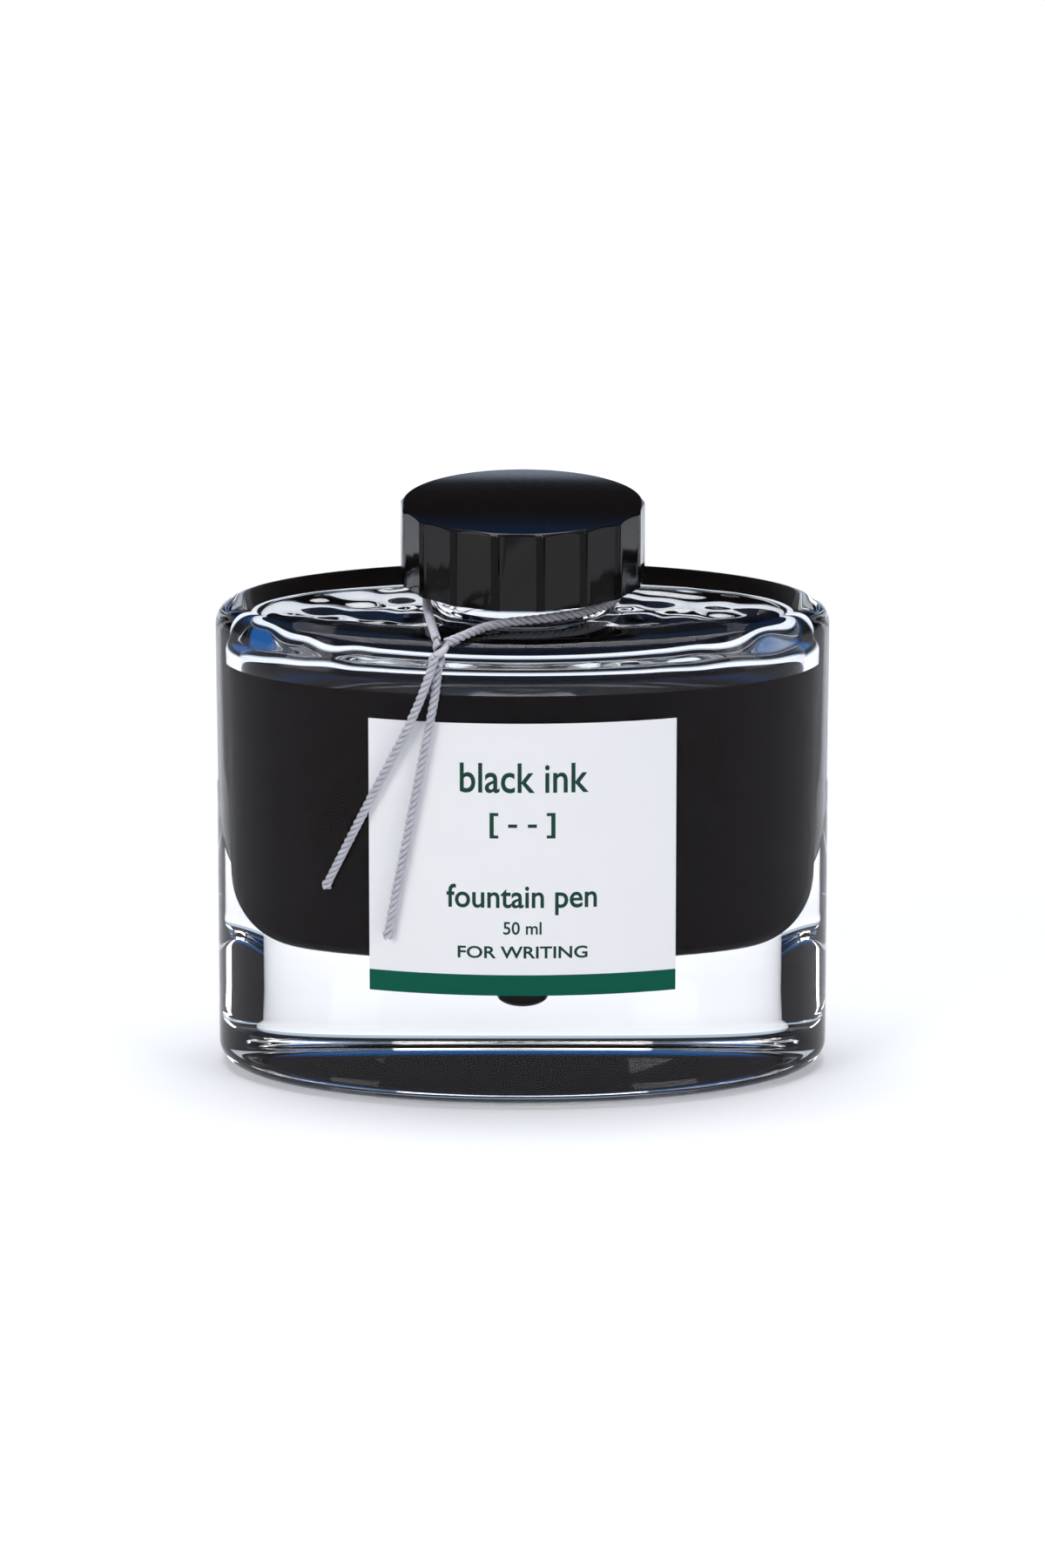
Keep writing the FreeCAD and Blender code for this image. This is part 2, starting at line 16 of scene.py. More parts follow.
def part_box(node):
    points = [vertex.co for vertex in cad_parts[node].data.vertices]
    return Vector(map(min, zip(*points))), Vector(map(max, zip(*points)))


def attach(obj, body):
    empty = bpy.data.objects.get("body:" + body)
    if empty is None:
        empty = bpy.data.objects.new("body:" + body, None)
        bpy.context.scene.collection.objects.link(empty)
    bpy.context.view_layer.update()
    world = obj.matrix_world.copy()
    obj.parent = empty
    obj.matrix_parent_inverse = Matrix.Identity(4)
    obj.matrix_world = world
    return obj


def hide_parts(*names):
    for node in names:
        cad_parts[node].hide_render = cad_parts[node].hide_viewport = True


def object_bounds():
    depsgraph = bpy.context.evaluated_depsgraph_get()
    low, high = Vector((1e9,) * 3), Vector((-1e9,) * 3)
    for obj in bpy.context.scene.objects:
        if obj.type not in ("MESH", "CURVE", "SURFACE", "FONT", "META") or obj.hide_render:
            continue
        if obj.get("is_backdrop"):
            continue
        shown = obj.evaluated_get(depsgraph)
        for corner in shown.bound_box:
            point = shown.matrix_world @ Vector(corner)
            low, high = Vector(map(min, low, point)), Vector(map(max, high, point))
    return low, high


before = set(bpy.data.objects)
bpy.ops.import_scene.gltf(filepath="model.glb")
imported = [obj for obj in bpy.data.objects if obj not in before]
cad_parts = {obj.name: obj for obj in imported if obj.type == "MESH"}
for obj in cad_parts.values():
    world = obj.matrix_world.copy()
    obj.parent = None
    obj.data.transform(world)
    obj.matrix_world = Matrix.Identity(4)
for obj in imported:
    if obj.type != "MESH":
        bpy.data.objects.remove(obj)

MM = 0.001
Point = tuple[float, float, float]
Colour = tuple[float, float, float]
HAIR = 0.01  # tells one height from the next, in millimetres
LOOKS_DOWN = -0.9  # a face looks down if the Z of its normal is below this
NOISE_RANGE = (0.3, 0.7)  # where nearly all of a noise's values lie
log = logging.getLogger("inkwell")


# Modelling helpers


class Crease(Enum):
    """The angle between two faces, in degrees, from which the edge between them looks sharp."""

    CAP = 25.0
    PAPER = 30.0
    GLASS = 40.0
    CORD = 60.0


class Run(Enum):
    """How a curve runs: smoothly past its points, or straight from each to the next."""

    SMOOTH = "NURBS"
    STRAIGHT = "POLY"


@dataclass(frozen=True)
class Ring:
    """A level oval ring of a skin, in millimetres."""

    half_x: float
    half_y: float
    z: float


def deselect_all() -> None:
    """Leaves nothing selected in object mode."""
    bpy.ops.object.select_all(action="DESELECT")


def active() -> bpy.types.Object:
    """The active object."""
    return bpy.context.view_layer.objects.active


def select_only(piece: bpy.types.Object) -> None:
    """Makes one piece the only selected one and the active one.

    Args:
        piece: the piece.
    """
    deselect_all()
    piece.select_set(True)
    bpy.context.view_layer.objects.active = piece


def open_for_edit(piece: bpy.types.Object) -> None:
    """Opens one piece in edit mode, selected all over.

    Args:
        piece: the piece to edit.
    """
    select_only(piece)
    bpy.ops.object.mode_set(mode="EDIT")
    bpy.ops.mesh.select_all(action="SELECT")


def close_edit() -> None:
    """Goes back to object mode."""
    bpy.ops.object.mode_set(mode="OBJECT")


def pick_faces(piece: bpy.types.Object, wanted: Callable[[bpy.types.MeshPolygon], bool]) -> None:
    """Selects, in edit mode, the faces that answer a test.

    Args:
        piece: the piece, open in edit mode.
        wanted: the test on a face.
    """
    bpy.ops.mesh.select_all(action="DESELECT")
    bpy.ops.mesh.select_mode(type="FACE")
    bpy.ops.object.mode_set(mode="OBJECT")
    for face in piece.data.polygons:
        face.select = wanted(face)
    bpy.ops.object.mode_set(mode="EDIT")


def pick_edges(piece: bpy.types.Object, wanted: Callable[[Vector, Vector], bool]) -> None:
    """Selects, in edit mode, the edges whose two ends answer a test.

    Args:
        piece: the piece, open in edit mode.
        wanted: the test on the places of the edge's ends.
    """
    bpy.ops.mesh.select_all(action="DESELECT")
    bpy.ops.mesh.select_mode(type="EDGE")
    bpy.ops.object.mode_set(mode="OBJECT")
    points = [v.co for v in piece.data.vertices]
    for edge in piece.data.edges:
        edge.select = wanted(points[edge.vertices[0]], points[edge.vertices[1]])
    bpy.ops.object.mode_set(mode="EDIT")


def apply_place(piece: bpy.types.Object) -> None:
    """Puts a piece's place and turn into its mesh, so that its object sits at the origin."""
    select_only(piece)
    bpy.ops.object.transform_apply(location=True, rotation=True, scale=True)


def apply_modifier(piece: bpy.types.Object, kind: str, **settings: object) -> None:
    """Adds a modifier to a piece and applies it.

    Args:
        piece: the piece.
        kind: the modifier's type.
        settings: its properties.
    """
    select_only(piece)
    modifier = piece.modifiers.new(kind.title(), kind)
    for name, value in settings.items():
        setattr(modifier, name, value)
    bpy.ops.object.modifier_apply(modifier=modifier.name)


def join(pieces: Sequence[bpy.types.Object]) -> bpy.types.Object:
    """Joins several meshes into one.

    Args:
        pieces: the meshes, two or more.

    Returns:
        The first of them, which now holds them all.
    """
    select_only(pieces[0])
    for piece in pieces[1:]:
        piece.select_set(True)
    bpy.ops.object.join()
    return active()


def shade(piece: bpy.types.Object, crease: Crease) -> None:
    """Shades a piece smooth, but for the edges that are sharper than its crease."""
    select_only(piece)
    bpy.ops.object.shade_smooth_by_angle(angle=math.radians(crease.value))


def lay_curve(name: str, run: Run, places: Sequence[Sequence[float]], steps: int = 12) -> bpy.types.Object:
    """Lays an open curve along some places.

    Args:
        name: its name.
        run: how it goes from place to place.
        places: its points, in metres.
        steps: how finely a smooth curve is drawn between two points.

    Returns:
        The curve's object.
    """
    curve = bpy.data.curves.new(name, "CURVE")
    curve.dimensions = "3D"
    curve.resolution_u = steps
    spline = curve.splines.new(run.value)
    spline.points.add(len(places) - 1)
    for spot, place in zip(spline.points, places):
        spot.co = (*place, 1.0)
    if run is Run.SMOOTH:
        spline.order_u = 3
        spline.use_endpoint_u = True
    holder = bpy.data.objects.new(name, curve)
    bpy.context.scene.collection.objects.link(holder)
    return holder


def hand_over(
    piece: bpy.types.Object,
    name: str,
    body: str,
    finish: bpy.types.Material,
    stands_for: Sequence[str] = (),
) -> bpy.types.Object:
    """Names a finished piece, gives it its material and ties it to the frame.

    Args:
        piece: the finished piece.
        name: its name.
        body: the moving body that it rides on.
        finish: its material.
        stands_for: the CAD nodes that it replaces.

    Returns:
        The same piece.
    """
    piece.name = name
    piece.data.name = name
    piece.data.materials.clear()
    piece.data.materials.append(finish)
    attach(piece, body)
    if stands_for:
        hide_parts(*stands_for)
    log.info("%s: %d faces, rides on %s", name, len(piece.data.polygons), body)
    return piece


class RingSkin:
    """A closed skin grown ring by ring: a circle is extruded, moved and scaled, again and again."""

    def __init__(self, first: Ring, around: int) -> None:
        """Starts the skin with a filled ring, its middle closed to one point.

        Args:
            first: the ring round the first point.
            around: how many points a ring has.
        """
        deselect_all()
        bpy.ops.mesh.primitive_circle_add(vertices=around, radius=1.0, fill_type="TRIFAN")
        self.piece = active()
        self.here = first
        open_for_edit(self.piece)
        place = (0, 0, first.z * MM)
        bpy.ops.transform.translate(value=place)
        bpy.ops.transform.resize(value=(first.half_x * MM, first.half_y * MM, 1), center_override=place)
        bpy.ops.mesh.select_all(action="DESELECT")
        bpy.ops.mesh.select_mode(type="EDGE")
        bpy.ops.mesh.select_non_manifold(extend=False)

    def grow(self, ring: Ring) -> None:
        """Extrudes the open edge to the next ring.

        Args:
            ring: the next ring.
        """
        place = (0, 0, ring.z * MM)
        rise = (0, 0, (ring.z - self.here.z) * MM)
        bpy.ops.mesh.extrude_region_move(TRANSFORM_OT_translate={"value": rise})
        wider = (ring.half_x / self.here.half_x, ring.half_y / self.here.half_y, 1)
        bpy.ops.transform.resize(value=wider, center_override=place)
        self.here = ring

    def finish(self, last_z: float) -> bpy.types.Object:
        """Closes the open edge to a point at a height and turns all faces outwards.

        Args:
            last_z: the height of the last point, in millimetres.

        Returns:
            The closed piece.
        """
        rise = (0, 0, (last_z - self.here.z) * MM)
        bpy.ops.mesh.extrude_region_move(TRANSFORM_OT_translate={"value": rise})
        bpy.ops.mesh.merge(type="CENTER")
        bpy.ops.mesh.select_all(action="SELECT")
        bpy.ops.mesh.normals_make_consistent(inside=False)
        close_edit()
        return self.piece


def circle(radius: float, z: float) -> Ring:
    """A round ring."""
    return Ring(radius, radius, z)


def quarter(steps: int, first: float = 0.0, last: float = 90.0) -> list[float]:
    """Angles in radians, evenly spaced from one to another, both given in degrees."""
    return [math.radians(first + (last - first) * k / steps) for k in range(steps + 1)]


def between(a: float, b: float, steps: int) -> list[float]:
    """Evenly spaced values after a, up to and with b."""
    return [a + (b - a) * k / steps for k in range(1, steps + 1)]


# Material helpers


class Tree:
    """A node tree that nodes are added to by kind, with their values and links."""

    def __init__(self, tree: bpy.types.NodeTree) -> None:
        """Keeps the tree."""
        self.tree = tree

    def add(self, kind: str, settings: dict[str, object] | None = None, **inputs: object) -> bpy.types.Node:
        """Adds a node.

        Args:
            kind: the node's type, without its ShaderNode prefix.
            settings: its properties.
            inputs: values or sockets for its inputs; a name's underscores stand for spaces, and
                in_0, in_1 and so on name an input by its place.

        Returns:
            The new node.
        """
        node = self.tree.nodes.new(f"ShaderNode{kind}")
        for name, value in (settings or {}).items():
            setattr(node, name, value)
        for name, value in inputs.items():
            by_place = name.startswith("in_")
            socket = node.inputs[int(name[3:]) if by_place else name.replace("_", " ")]
            if isinstance(value, bpy.types.NodeSocket):
                self.tree.links.new(value, socket)
            else:
                socket.default_value = value
        return node

    def maths(self, operation: str, *values: object) -> bpy.types.NodeSocket:
        """Adds a Math node and returns its result."""
        node = self.add("Math", {"operation": operation}, **{f"in_{k}": v for k, v in enumerate(values)})
        return node.outputs[0]

    def blend(self, share: object, first: object, second: object) -> bpy.types.NodeSocket:
        """Mixes two colours.

        Args:
            share: how much of the second one there is.
            first: one colour, as a value or a socket.
            second: the other.

        Returns:
            The mix.
        """
        node = self.add("Mix", {"data_type": "RGBA"})
        for socket, value in zip((node.inputs[0], node.inputs[6], node.inputs[7]), (share, first, second)):
            if isinstance(value, bpy.types.NodeSocket):
                self.tree.links.new(value, socket)
            else:
                socket.default_value = value
        return node.outputs[2]

    def spread(
        self, value: object, low: float, high: float, to_low: float = 0.0, to_high: float = 1.0
    ) -> bpy.types.NodeSocket:
        """Maps a value from one range to another, clamped, and returns the result."""
        ends = {"From_Min": low, "From_Max": high, "To_Min": to_low, "To_Max": to_high}
        return self.add("MapRange", None, Value=value, **ends).outputs[0]

    def where(self, kind: str = "Object") -> bpy.types.NodeSocket:
        """The place of a point, by default in its object's own coordinates."""
        return self.add("TexCoord").outputs[kind]

    def parts(self, vector: bpy.types.NodeSocket) -> bpy.types.NodeOutputs:
        """The X, Y and Z parts of a vector."""
        return self.add("SeparateXYZ", None, Vector=vector).outputs

    def link(self, source: bpy.types.NodeSocket, target: bpy.types.NodeSocket) -> None:
        """Joins two sockets."""
        self.tree.links.new(source, target)


def opaque(colour: Colour) -> tuple[float, float, float, float]:
    """A colour with full alpha."""
    return (*colour, 1.0)


def new_group(
    name: str, inputs: dict[str, float], outputs: Sequence[str]
) -> tuple[bpy.types.NodeTree, Tree, bpy.types.NodeOutputs, bpy.types.NodeInputs]:
    """Makes a shader node group with value sockets.

    Args:
        name: the group's name.
        inputs: each input's name and default value.
        outputs: the outputs' names.

    Returns:
        The group, a Tree to fill it with, what comes in and what goes out.
    """
    group = bpy.data.node_groups.new(name, "ShaderNodeTree")
    for label, value in inputs.items():
        socket = group.interface.new_socket(label, in_out="INPUT", socket_type="NodeSocketFloat")
        socket.default_value = value
    for label in outputs:
        group.interface.new_socket(label, in_out="OUTPUT", socket_type="NodeSocketFloat")
    inlet, outlet = group.nodes.new("NodeGroupInput"), group.nodes.new("NodeGroupOutput")
    return group, Tree(group), inlet.outputs, outlet.inputs


@dataclass(frozen=True)
class Mottle:
    """Slow and fine noise on a surface: drifts of tone, and a fine grain."""

    name: str = "mottle"

    def group(self) -> bpy.types.NodeTree:
        """Builds the group the first time.

        Returns:
            The group.
        """
        if self.name in bpy.data.node_groups:
            return bpy.data.node_groups[self.name]
        inputs = {"Drift Scale": 60.0, "Grain Scale": 2500.0}
        group, tree, given, result = new_group(self.name, inputs, ("Drift", "Grain"))
        place = tree.where()
        drift = tree.add("TexNoise", None, Vector=place, Scale=given["Drift Scale"], Detail=3.0)
        grain = tree.add("TexNoise", None, Vector=place, Scale=given["Grain Scale"], Detail=4.0)
        tree.link(drift.outputs["Fac"], result["Drift"])
        tree.link(grain.outputs["Fac"], result["Grain"])
        return group


@dataclass(frozen=True)
class Dust:
    """A mask of fine specks that lie on upward faces."""

    name: str = "dust"

    def group(self) -> bpy.types.NodeTree:
        """Builds the group.

        Returns:
            The group.
        """
        group, tree, given, result = new_group(self.name, {"Speck Scale": 900.0, "Amount": 0.2}, ("Mask",))
        cells = tree.add("TexVoronoi", None, Vector=tree.where(), Scale=given["Speck Scale"])
        speck = tree.spread(cells.outputs["Distance"], 0.0, 0.18, 1.0, 0.0)
        upward = tree.spread(tree.parts(tree.add("NewGeometry").outputs["Normal"])["Z"], 0.6, 1.0)
        amount = tree.maths("MULTIPLY", upward, given["Amount"])
        tree.link(tree.maths("MULTIPLY", speck, amount), result["Mask"])
        return group


class Surface:
    """A material in the making: its Principled shader, and a mottle at its own two scales."""

    def __init__(self, name: str, drift_scale: float, grain_scale: float) -> None:
        """Makes the material.

        Args:
            name: its name.
            drift_scale: the scale of its slow drifts of tone.
            grain_scale: the scale of its fine grain.
        """
        self.made = bpy.data.materials.new(name)
        self.made.use_nodes = True
        self.tree = Tree(self.made.node_tree)
        self.shader = self.made.node_tree.nodes["Principled BSDF"]
        mottle = self.place(Mottle().group(), Drift_Scale=drift_scale, Grain_Scale=grain_scale)
        self.drift, self.grain = mottle["Drift"], mottle["Grain"]

    def place(self, group: bpy.types.NodeTree, **values: float) -> bpy.types.NodeOutputs:
        """Places a node group with its own values."""
        return self.tree.add("Group", {"node_tree": group}, **values).outputs

    def feed(self, label: str, source: bpy.types.NodeSocket) -> None:
        """Links a socket to an input of the shader."""
        self.tree.link(source, self.shader.inputs[label])

    def paint(self, share: bpy.types.NodeSocket, first: Colour, second: Colour) -> None:
        """Gives the surface a mix of two colours."""
        self.feed("Base Color", self.tree.blend(share, opaque(first), opaque(second)))

    def roughen(self, noise: bpy.types.NodeSocket, low: float, high: float) -> None:
        """Lets the roughness follow a noise, from low to high."""
        self.feed("Roughness", self.tree.spread(noise, *NOISE_RANGE, low, high))

    def emboss(self, height: bpy.types.NodeSocket, strength: float, distance: float) -> None:
        """Raises the surface by a pattern, in its normals only."""
        bump = self.tree.add("Bump", None, Strength=strength, Distance=distance, Height=height)
        self.feed("Normal", bump.outputs["Normal"])

    def plain(self, **values: object) -> None:
        """Sets what is the same all over, by the input's name; underscores stand for spaces."""
        for name, value in values.items():
            self.shader.inputs[name.replace("_", " ")].default_value = value


@dataclass(frozen=True)
class ClearGlass:
    """Thick pressed glass, a little uneven, with the faint blue of a thick edge."""

    tint: Colour = (0.885, 0.9, 0.915)
    clearest: Colour = (0.985, 0.993, 0.998)
    ior: float = 1.52
    head_on_shine: Colour = (0.2, 0.2, 0.22)
    ripple: float = 0.006
    ripple_height: float = 0.0004

    def material(self) -> bpy.types.Material:
        """Builds the material.

        Returns:
            The material.
        """
        glass = Surface("clear_glass", 45.0, 300.0)
        glass.paint(glass.drift, self.tint, self.clearest)
        glass.roughen(glass.grain, 0.0, 0.004)
        glass.emboss(glass.drift, self.ripple, self.ripple_height)
        glass.plain(Transmission_Weight=1.0, IOR=self.ior, Specular_Tint=opaque(self.head_on_shine))
        return glass.made


@dataclass(frozen=True)
class DarkInk:
    """Near-black ink: warm and dark. Against glass it hardly reflects, and its free top does."""

    name: str
    ior: float
    deep: Colour = (0.0045, 0.0018, 0.0012)
    thin: Colour = (0.006, 0.0026, 0.0018)

    def material(self) -> bpy.types.Material:
        """Builds the material.

        Returns:
            The material.
        """
        ink = Surface(self.name, 40.0, 500.0)
        ink.paint(ink.drift, self.deep, self.thin)
        ink.roughen(ink.grain, 0.02, 0.06)
        ink.plain(IOR=self.ior)
        return ink.made


@dataclass(frozen=True)
class LabelPaper:
    """Smooth pale paper with a printed band along its foot."""

    paper: Colour = (0.87, 0.862, 0.85)
    paper_light: Colour = (0.89, 0.882, 0.865)
    band: Colour = (0.0, 0.1, 0.058)
    band_dark: Colour = (0.0, 0.085, 0.05)
    band_top: float = 18.4
    shine: float = 0.12
    tooth: float = 0.25
    tooth_height: float = 0.00002

    def material(self) -> bpy.types.Material:
        """Builds the material.

        Returns:
            The material.
        """
        label = Surface("label_paper", 120.0, 3500.0)
        tree = label.tree
        paper = tree.blend(label.drift, opaque(self.paper), opaque(self.paper_light))
        band = tree.blend(label.grain, opaque(self.band), opaque(self.band_dark))
        in_band = tree.maths("LESS_THAN", tree.parts(tree.where())["Z"], self.band_top * MM)
        label.feed("Base Color", tree.blend(in_band, paper, band))
        label.roughen(label.grain, 0.5, 0.65)
        label.emboss(label.grain, self.tooth, self.tooth_height)
        label.plain(Specular_IOR_Level=self.shine)
        return label.made


@dataclass(frozen=True)
class Print:
    """Dark green printing on paper."""

    full: Colour = (0.008, 0.045, 0.03)
    thin: Colour = (0.014, 0.06, 0.04)
    shine: float = 0.12

    def material(self) -> bpy.types.Material:
        """Builds the material.

        Returns:
            The material.
        """
        printed = Surface("label_print", 400.0, 3500.0)
        printed.paint(printed.grain, self.full, self.thin)
        printed.roughen(printed.drift, 0.5, 0.6)
        printed.plain(Specular_IOR_Level=self.shine)
        return printed.made


@dataclass(frozen=True)
class BlackGloss:
    """Polished black plastic with a few specks of dust on its top."""

    colour: Colour = (0.0035, 0.0025, 0.0022)
    lighter: Colour = (0.005, 0.0042, 0.004)
    dust: Colour = (0.3, 0.3, 0.3)
    dust_amount: float = 0.02
    ior: float = 1.49
    shine: float = 0.24

    def material(self) -> bpy.types.Material:
        """Builds the material.

        Returns:
            The material.
        """
        gloss = Surface("black_gloss", 70.0, 1800.0)
        specks = gloss.place(Dust().group(), Speck_Scale=700.0, Amount=self.dust_amount)["Mask"]
        tone = gloss.tree.blend(gloss.drift, opaque(self.colour), opaque(self.lighter))
        gloss.feed("Base Color", gloss.tree.blend(specks, tone, opaque(self.dust)))
        gloss.roughen(gloss.grain, 0.09, 0.14)
        gloss.emboss(gloss.drift, 0.03, 0.0001)
        gloss.plain(IOR=self.ior, Specular_IOR_Level=self.shine)
        return gloss.made


@dataclass(frozen=True)
class Moulded:
    """Satin moulded plastic or foam, of one colour with a fine grain."""

    name: str
    colour: Colour
    lighter: Colour
    roughness: float
    unevenness: float = 0.06

    def material(self) -> bpy.types.Material:
        """Builds the material.

        Returns:
            The material.
        """
        moulded = Surface(self.name, 150.0, 2200.0)
        moulded.paint(moulded.drift, self.colour, self.lighter)
        moulded.roughen(moulded.grain, self.roughness - self.unevenness, self.roughness + self.unevenness)
        moulded.emboss(moulded.grain, 0.2, 0.00004)
        return moulded.made


@dataclass(frozen=True)
class SilverCord:
    """Silver-white twisted thread: fine fibres wound round each strand, with painted shade in the grooves
    between strands and in the valleys between fibres.
    """

    light: Colour = (0.86, 0.855, 0.89)
    # the colour of the fibres' valleys: painted shade
    dark: Colour = (0.42, 0.41, 0.46)
    # painted shade: the near-black colour put in the grooves between the strands
    groove_shade: Colour = (0.05, 0.048, 0.06)
    fibres_round: float = 5.0
    fibres_along: float = 60.0
    groove_shade_reach: tuple[float, float] = (0.35, 0.8)
    metallic: float = 0.1

    def material(self) -> bpy.types.Material:
        """Builds the material.

        Returns:
            The material.
        """
        cord = Surface("silver_cord", 900.0, 7000.0)
        tree = cord.tree
        strand = tree.parts(tree.add("UVMap", {"uv_map": "UVMap"}).outputs["UV"])
        turned = tree.maths("MULTIPLY", strand["X"], self.fibres_round)
        slant = tree.maths("ADD", turned, tree.maths("MULTIPLY", strand["Y"], self.fibres_along))
        fibre = tree.spread(tree.maths("PINGPONG", slant, 0.5), 0.0, 0.5)
        # The fibres' colour follows their bumped height, dark in the valleys: painted shade between fibres.
        # The drift adds random tone on top.
        fibre_shade_and_tone = tree.maths("MULTIPLY", fibre, tree.spread(cord.drift, 0.35, 0.65, 0.6, 1.0))
        thread = tree.blend(fibre_shade_and_tone, opaque(self.dark), opaque(self.light))
        # A point deep between the strands is painted near black: painted shade in the grooves.
        out = tree.add("Attribute", {"attribute_name": "outward"}).outputs["Fac"]
        out_of_shade = tree.spread(out, *self.groove_shade_reach)
        cord.feed("Base Color", tree.blend(out_of_shade, opaque(self.groove_shade), thread))
        cord.roughen(cord.grain, 0.35, 0.55)
        cord.emboss(fibre, 0.6, 0.00003)
        cord.plain(Metallic=self.metallic)
        return cord.made


# Glass and ink


def slow_waves(x: float, y: float) -> float:
    """Three slow waves laid over one another, for a place in millimetres."""
    wave = math.sin(0.42 * x + 1.4 * math.sin(0.3 * y)) + math.sin(0.75 * y + 0.23 * x + 1.0)
    return wave + 0.6 * math.sin(0.9 * x - 0.5 * y)


@dataclass
class GlassBottle:
    """The bottle: one skin up the outside, over the lip and down the inside. Sizes in millimetres."""

    half_width: float
    half_depth: float
    lip_z: float
    shoulder_z: float = 62.4
    rim_round: float = 3.0
    base_round: float = 3.3
    foot_width: float = 2.6
    push_up: float = 0.8
    push_up_round: float = 0.5
    neck_radius: float = 11.6
    neck_root_round: float = 1.0
    lip_round: float = 0.5
    mouth_radius: float = 8.75
    thread_pitch: float = 3.2
    thread_turns: float = 1.2
    thread_depth: float = 1.1
    thread_root_width: float = 1.7
    thread_crest_width: float = 0.8
    thread_start: float = 4.4
    side_wall: float = 4.5
    face_wall: float = 7.2
    base_thickness: float = 17.3
    shoulder_thickness: float = 3.4
    wall_taper_side: float = 0.7
    wall_taper_face: float = 0.7
    floor_corner_side: float = 7.75
    floor_corner_face: float = 6.5
    floor_corner_rise: float = 8.5
    roof_corner: float = 3.5
    throat_flare: float = 0.7
    throat_rise: float = 0.9
    well_radius: float = 6.0
    well_tip_radius: float = 3.0
    well_depth: float = 7.4
    mouth_round: float = 0.3
    well_round: float = 0.4
    press_wave: float = 0.34
    wave_free_throat: float = 0.1
    wave_fade_in: float = 3.0
    wave_side_from: float = 15.0
    wave_side_fade: float = 8.0
    around: int = 256

    @classmethod
    def from_frame(cls) -> "GlassBottle":
        """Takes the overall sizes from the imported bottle."""
        _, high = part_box("glass_bottle")
        return cls(half_width=high[0] / MM, half_depth=high[1] / MM, lip_z=high[2] / MM)

    def face_y(self, x: float) -> float:
        """How far in front of the middle the face is at a place across it, in millimetres."""
        return self.half_depth * math.sqrt(1 - (x / self.half_width) ** 2)

    def outside(self) -> list[Ring]:
        """Goes up the outside.

        Returns:
            Rings from the middle of the foot to the lip.
        """
        a, b = self.half_width, self.half_depth
        hollow = self.base_round + self.foot_width
        small = self.push_up_round
        rings = [Ring((a - hollow) * k, (b - hollow) * k, self.push_up) for k in (0.5, 0.9)]
        for t in quarter(4):
            inset = hollow + small * (1 - math.sin(t))
            rings.append(Ring(a - inset, b - inset, self.push_up - small * (1 - math.cos(t))))
        rings.append(Ring(a - hollow, b - hollow, 0.06))
        rings.append(Ring(a - hollow + 0.06, b - hollow + 0.06, 0.0))
        for t in quarter(14):
            inset = self.base_round * (1 - math.sin(t))
            rings.append(Ring(a - inset, b - inset, self.base_round * (1 - math.cos(t))))
        side_top = self.shoulder_z - self.rim_round
        rings += [Ring(a, b, z) for z in between(self.base_round, side_top, 14)]
        for t in quarter(14)[1:]:
            inset = self.rim_round * (1 - math.cos(t))
            rings.append(Ring(a - inset, b - inset, side_top + self.rim_round * math.sin(t)))
        root = self.neck_radius + self.neck_root_round
        for share in between(0.0, 1.0, 6):
            half_x = a - self.rim_round + share * (root - a + self.rim_round)
            half_y = b - self.rim_round + share * (root - b + self.rim_round)
            rings.append(Ring(half_x, half_y, self.shoulder_z))
        for t in quarter(6)[1:]:
            radius = root - self.neck_root_round * math.sin(t)
            rings.append(circle(radius, self.shoulder_z + self.neck_root_round * (1 - math.cos(t))))
        neck = self.neck_radius
        thread_foot = self.shoulder_z + self.thread_start - self.thread_root_width / 2
        rings += [circle(neck, z) for z in between(self.shoulder_z + self.neck_root_round, thread_foot, 3)]
        rings += [circle(neck, z) for z in between(thread_foot, self.lip_z - self.lip_round, 44)]
        for t in quarter(5)[1:]:
            radius = neck - self.lip_round * (1 - math.cos(t))
            rings.append(circle(radius, self.lip_z - self.lip_round * (1 - math.sin(t))))
        return rings

    def bore(self) -> list[Ring]:
        """Goes over the lip and down the mouth.

        Returns:
            Rings from the lip to the roof of the hollow.
        """
        mouth, soft = self.mouth_radius, self.mouth_round
        rings = []
        for t in quarter(4):
            radius = mouth + soft * (1 - math.sin(t))
            rings.append(circle(radius, self.lip_z - soft * (1 - math.cos(t))))
        roof = self.roof_z()
        rings += [circle(mouth, z) for z in between(self.lip_z - soft, roof + self.throat_rise, 6)]
        for share in between(0.0, 1.0, 6):
            rings.append(circle(mouth + self.throat_flare * share, roof + self.throat_rise * (1 - share)))
        return rings

    def roof_z(self) -> float:
        """Height of the hollow's roof."""
        return self.shoulder_z - self.shoulder_thickness

    def throat(self) -> float:
        """Radius of the opening in the hollow's roof."""
        return self.mouth_radius + self.throat_flare

    def hollow(self) -> tuple[float, float]:
        """How far the hollow reaches to the side and to the front, under its eaves."""
        return self.half_width - self.side_wall, self.half_depth - self.face_wall

    def eaves(self) -> float:
        """Height where the hollow's walls turn into its roof."""
        return self.roof_z() - self.roof_corner

    def roof(self) -> list[Ring]:
        """Goes flat out from the throat, then round the roof's corner.

        Returns:
            Rings of the hollow's roof, down to the eaves.
        """
        throat, top = self.throat(), self.roof_z()
        wide, deep = self.hollow()
        flat_x, flat_y = wide - self.roof_corner, deep - self.roof_corner
        rings = []
        for share in between(0.0, 1.0, 20)[:-1]:
            rings.append(Ring(throat + (flat_x - throat) * share, throat + (flat_y - throat) * share, top))
        for t in quarter(14, 90.0, 0.0):
            out = self.roof_corner * math.cos(t)
            rings.append(Ring(flat_x + out, flat_y + out, self.eaves() + self.roof_corner * math.sin(t)))
        return rings

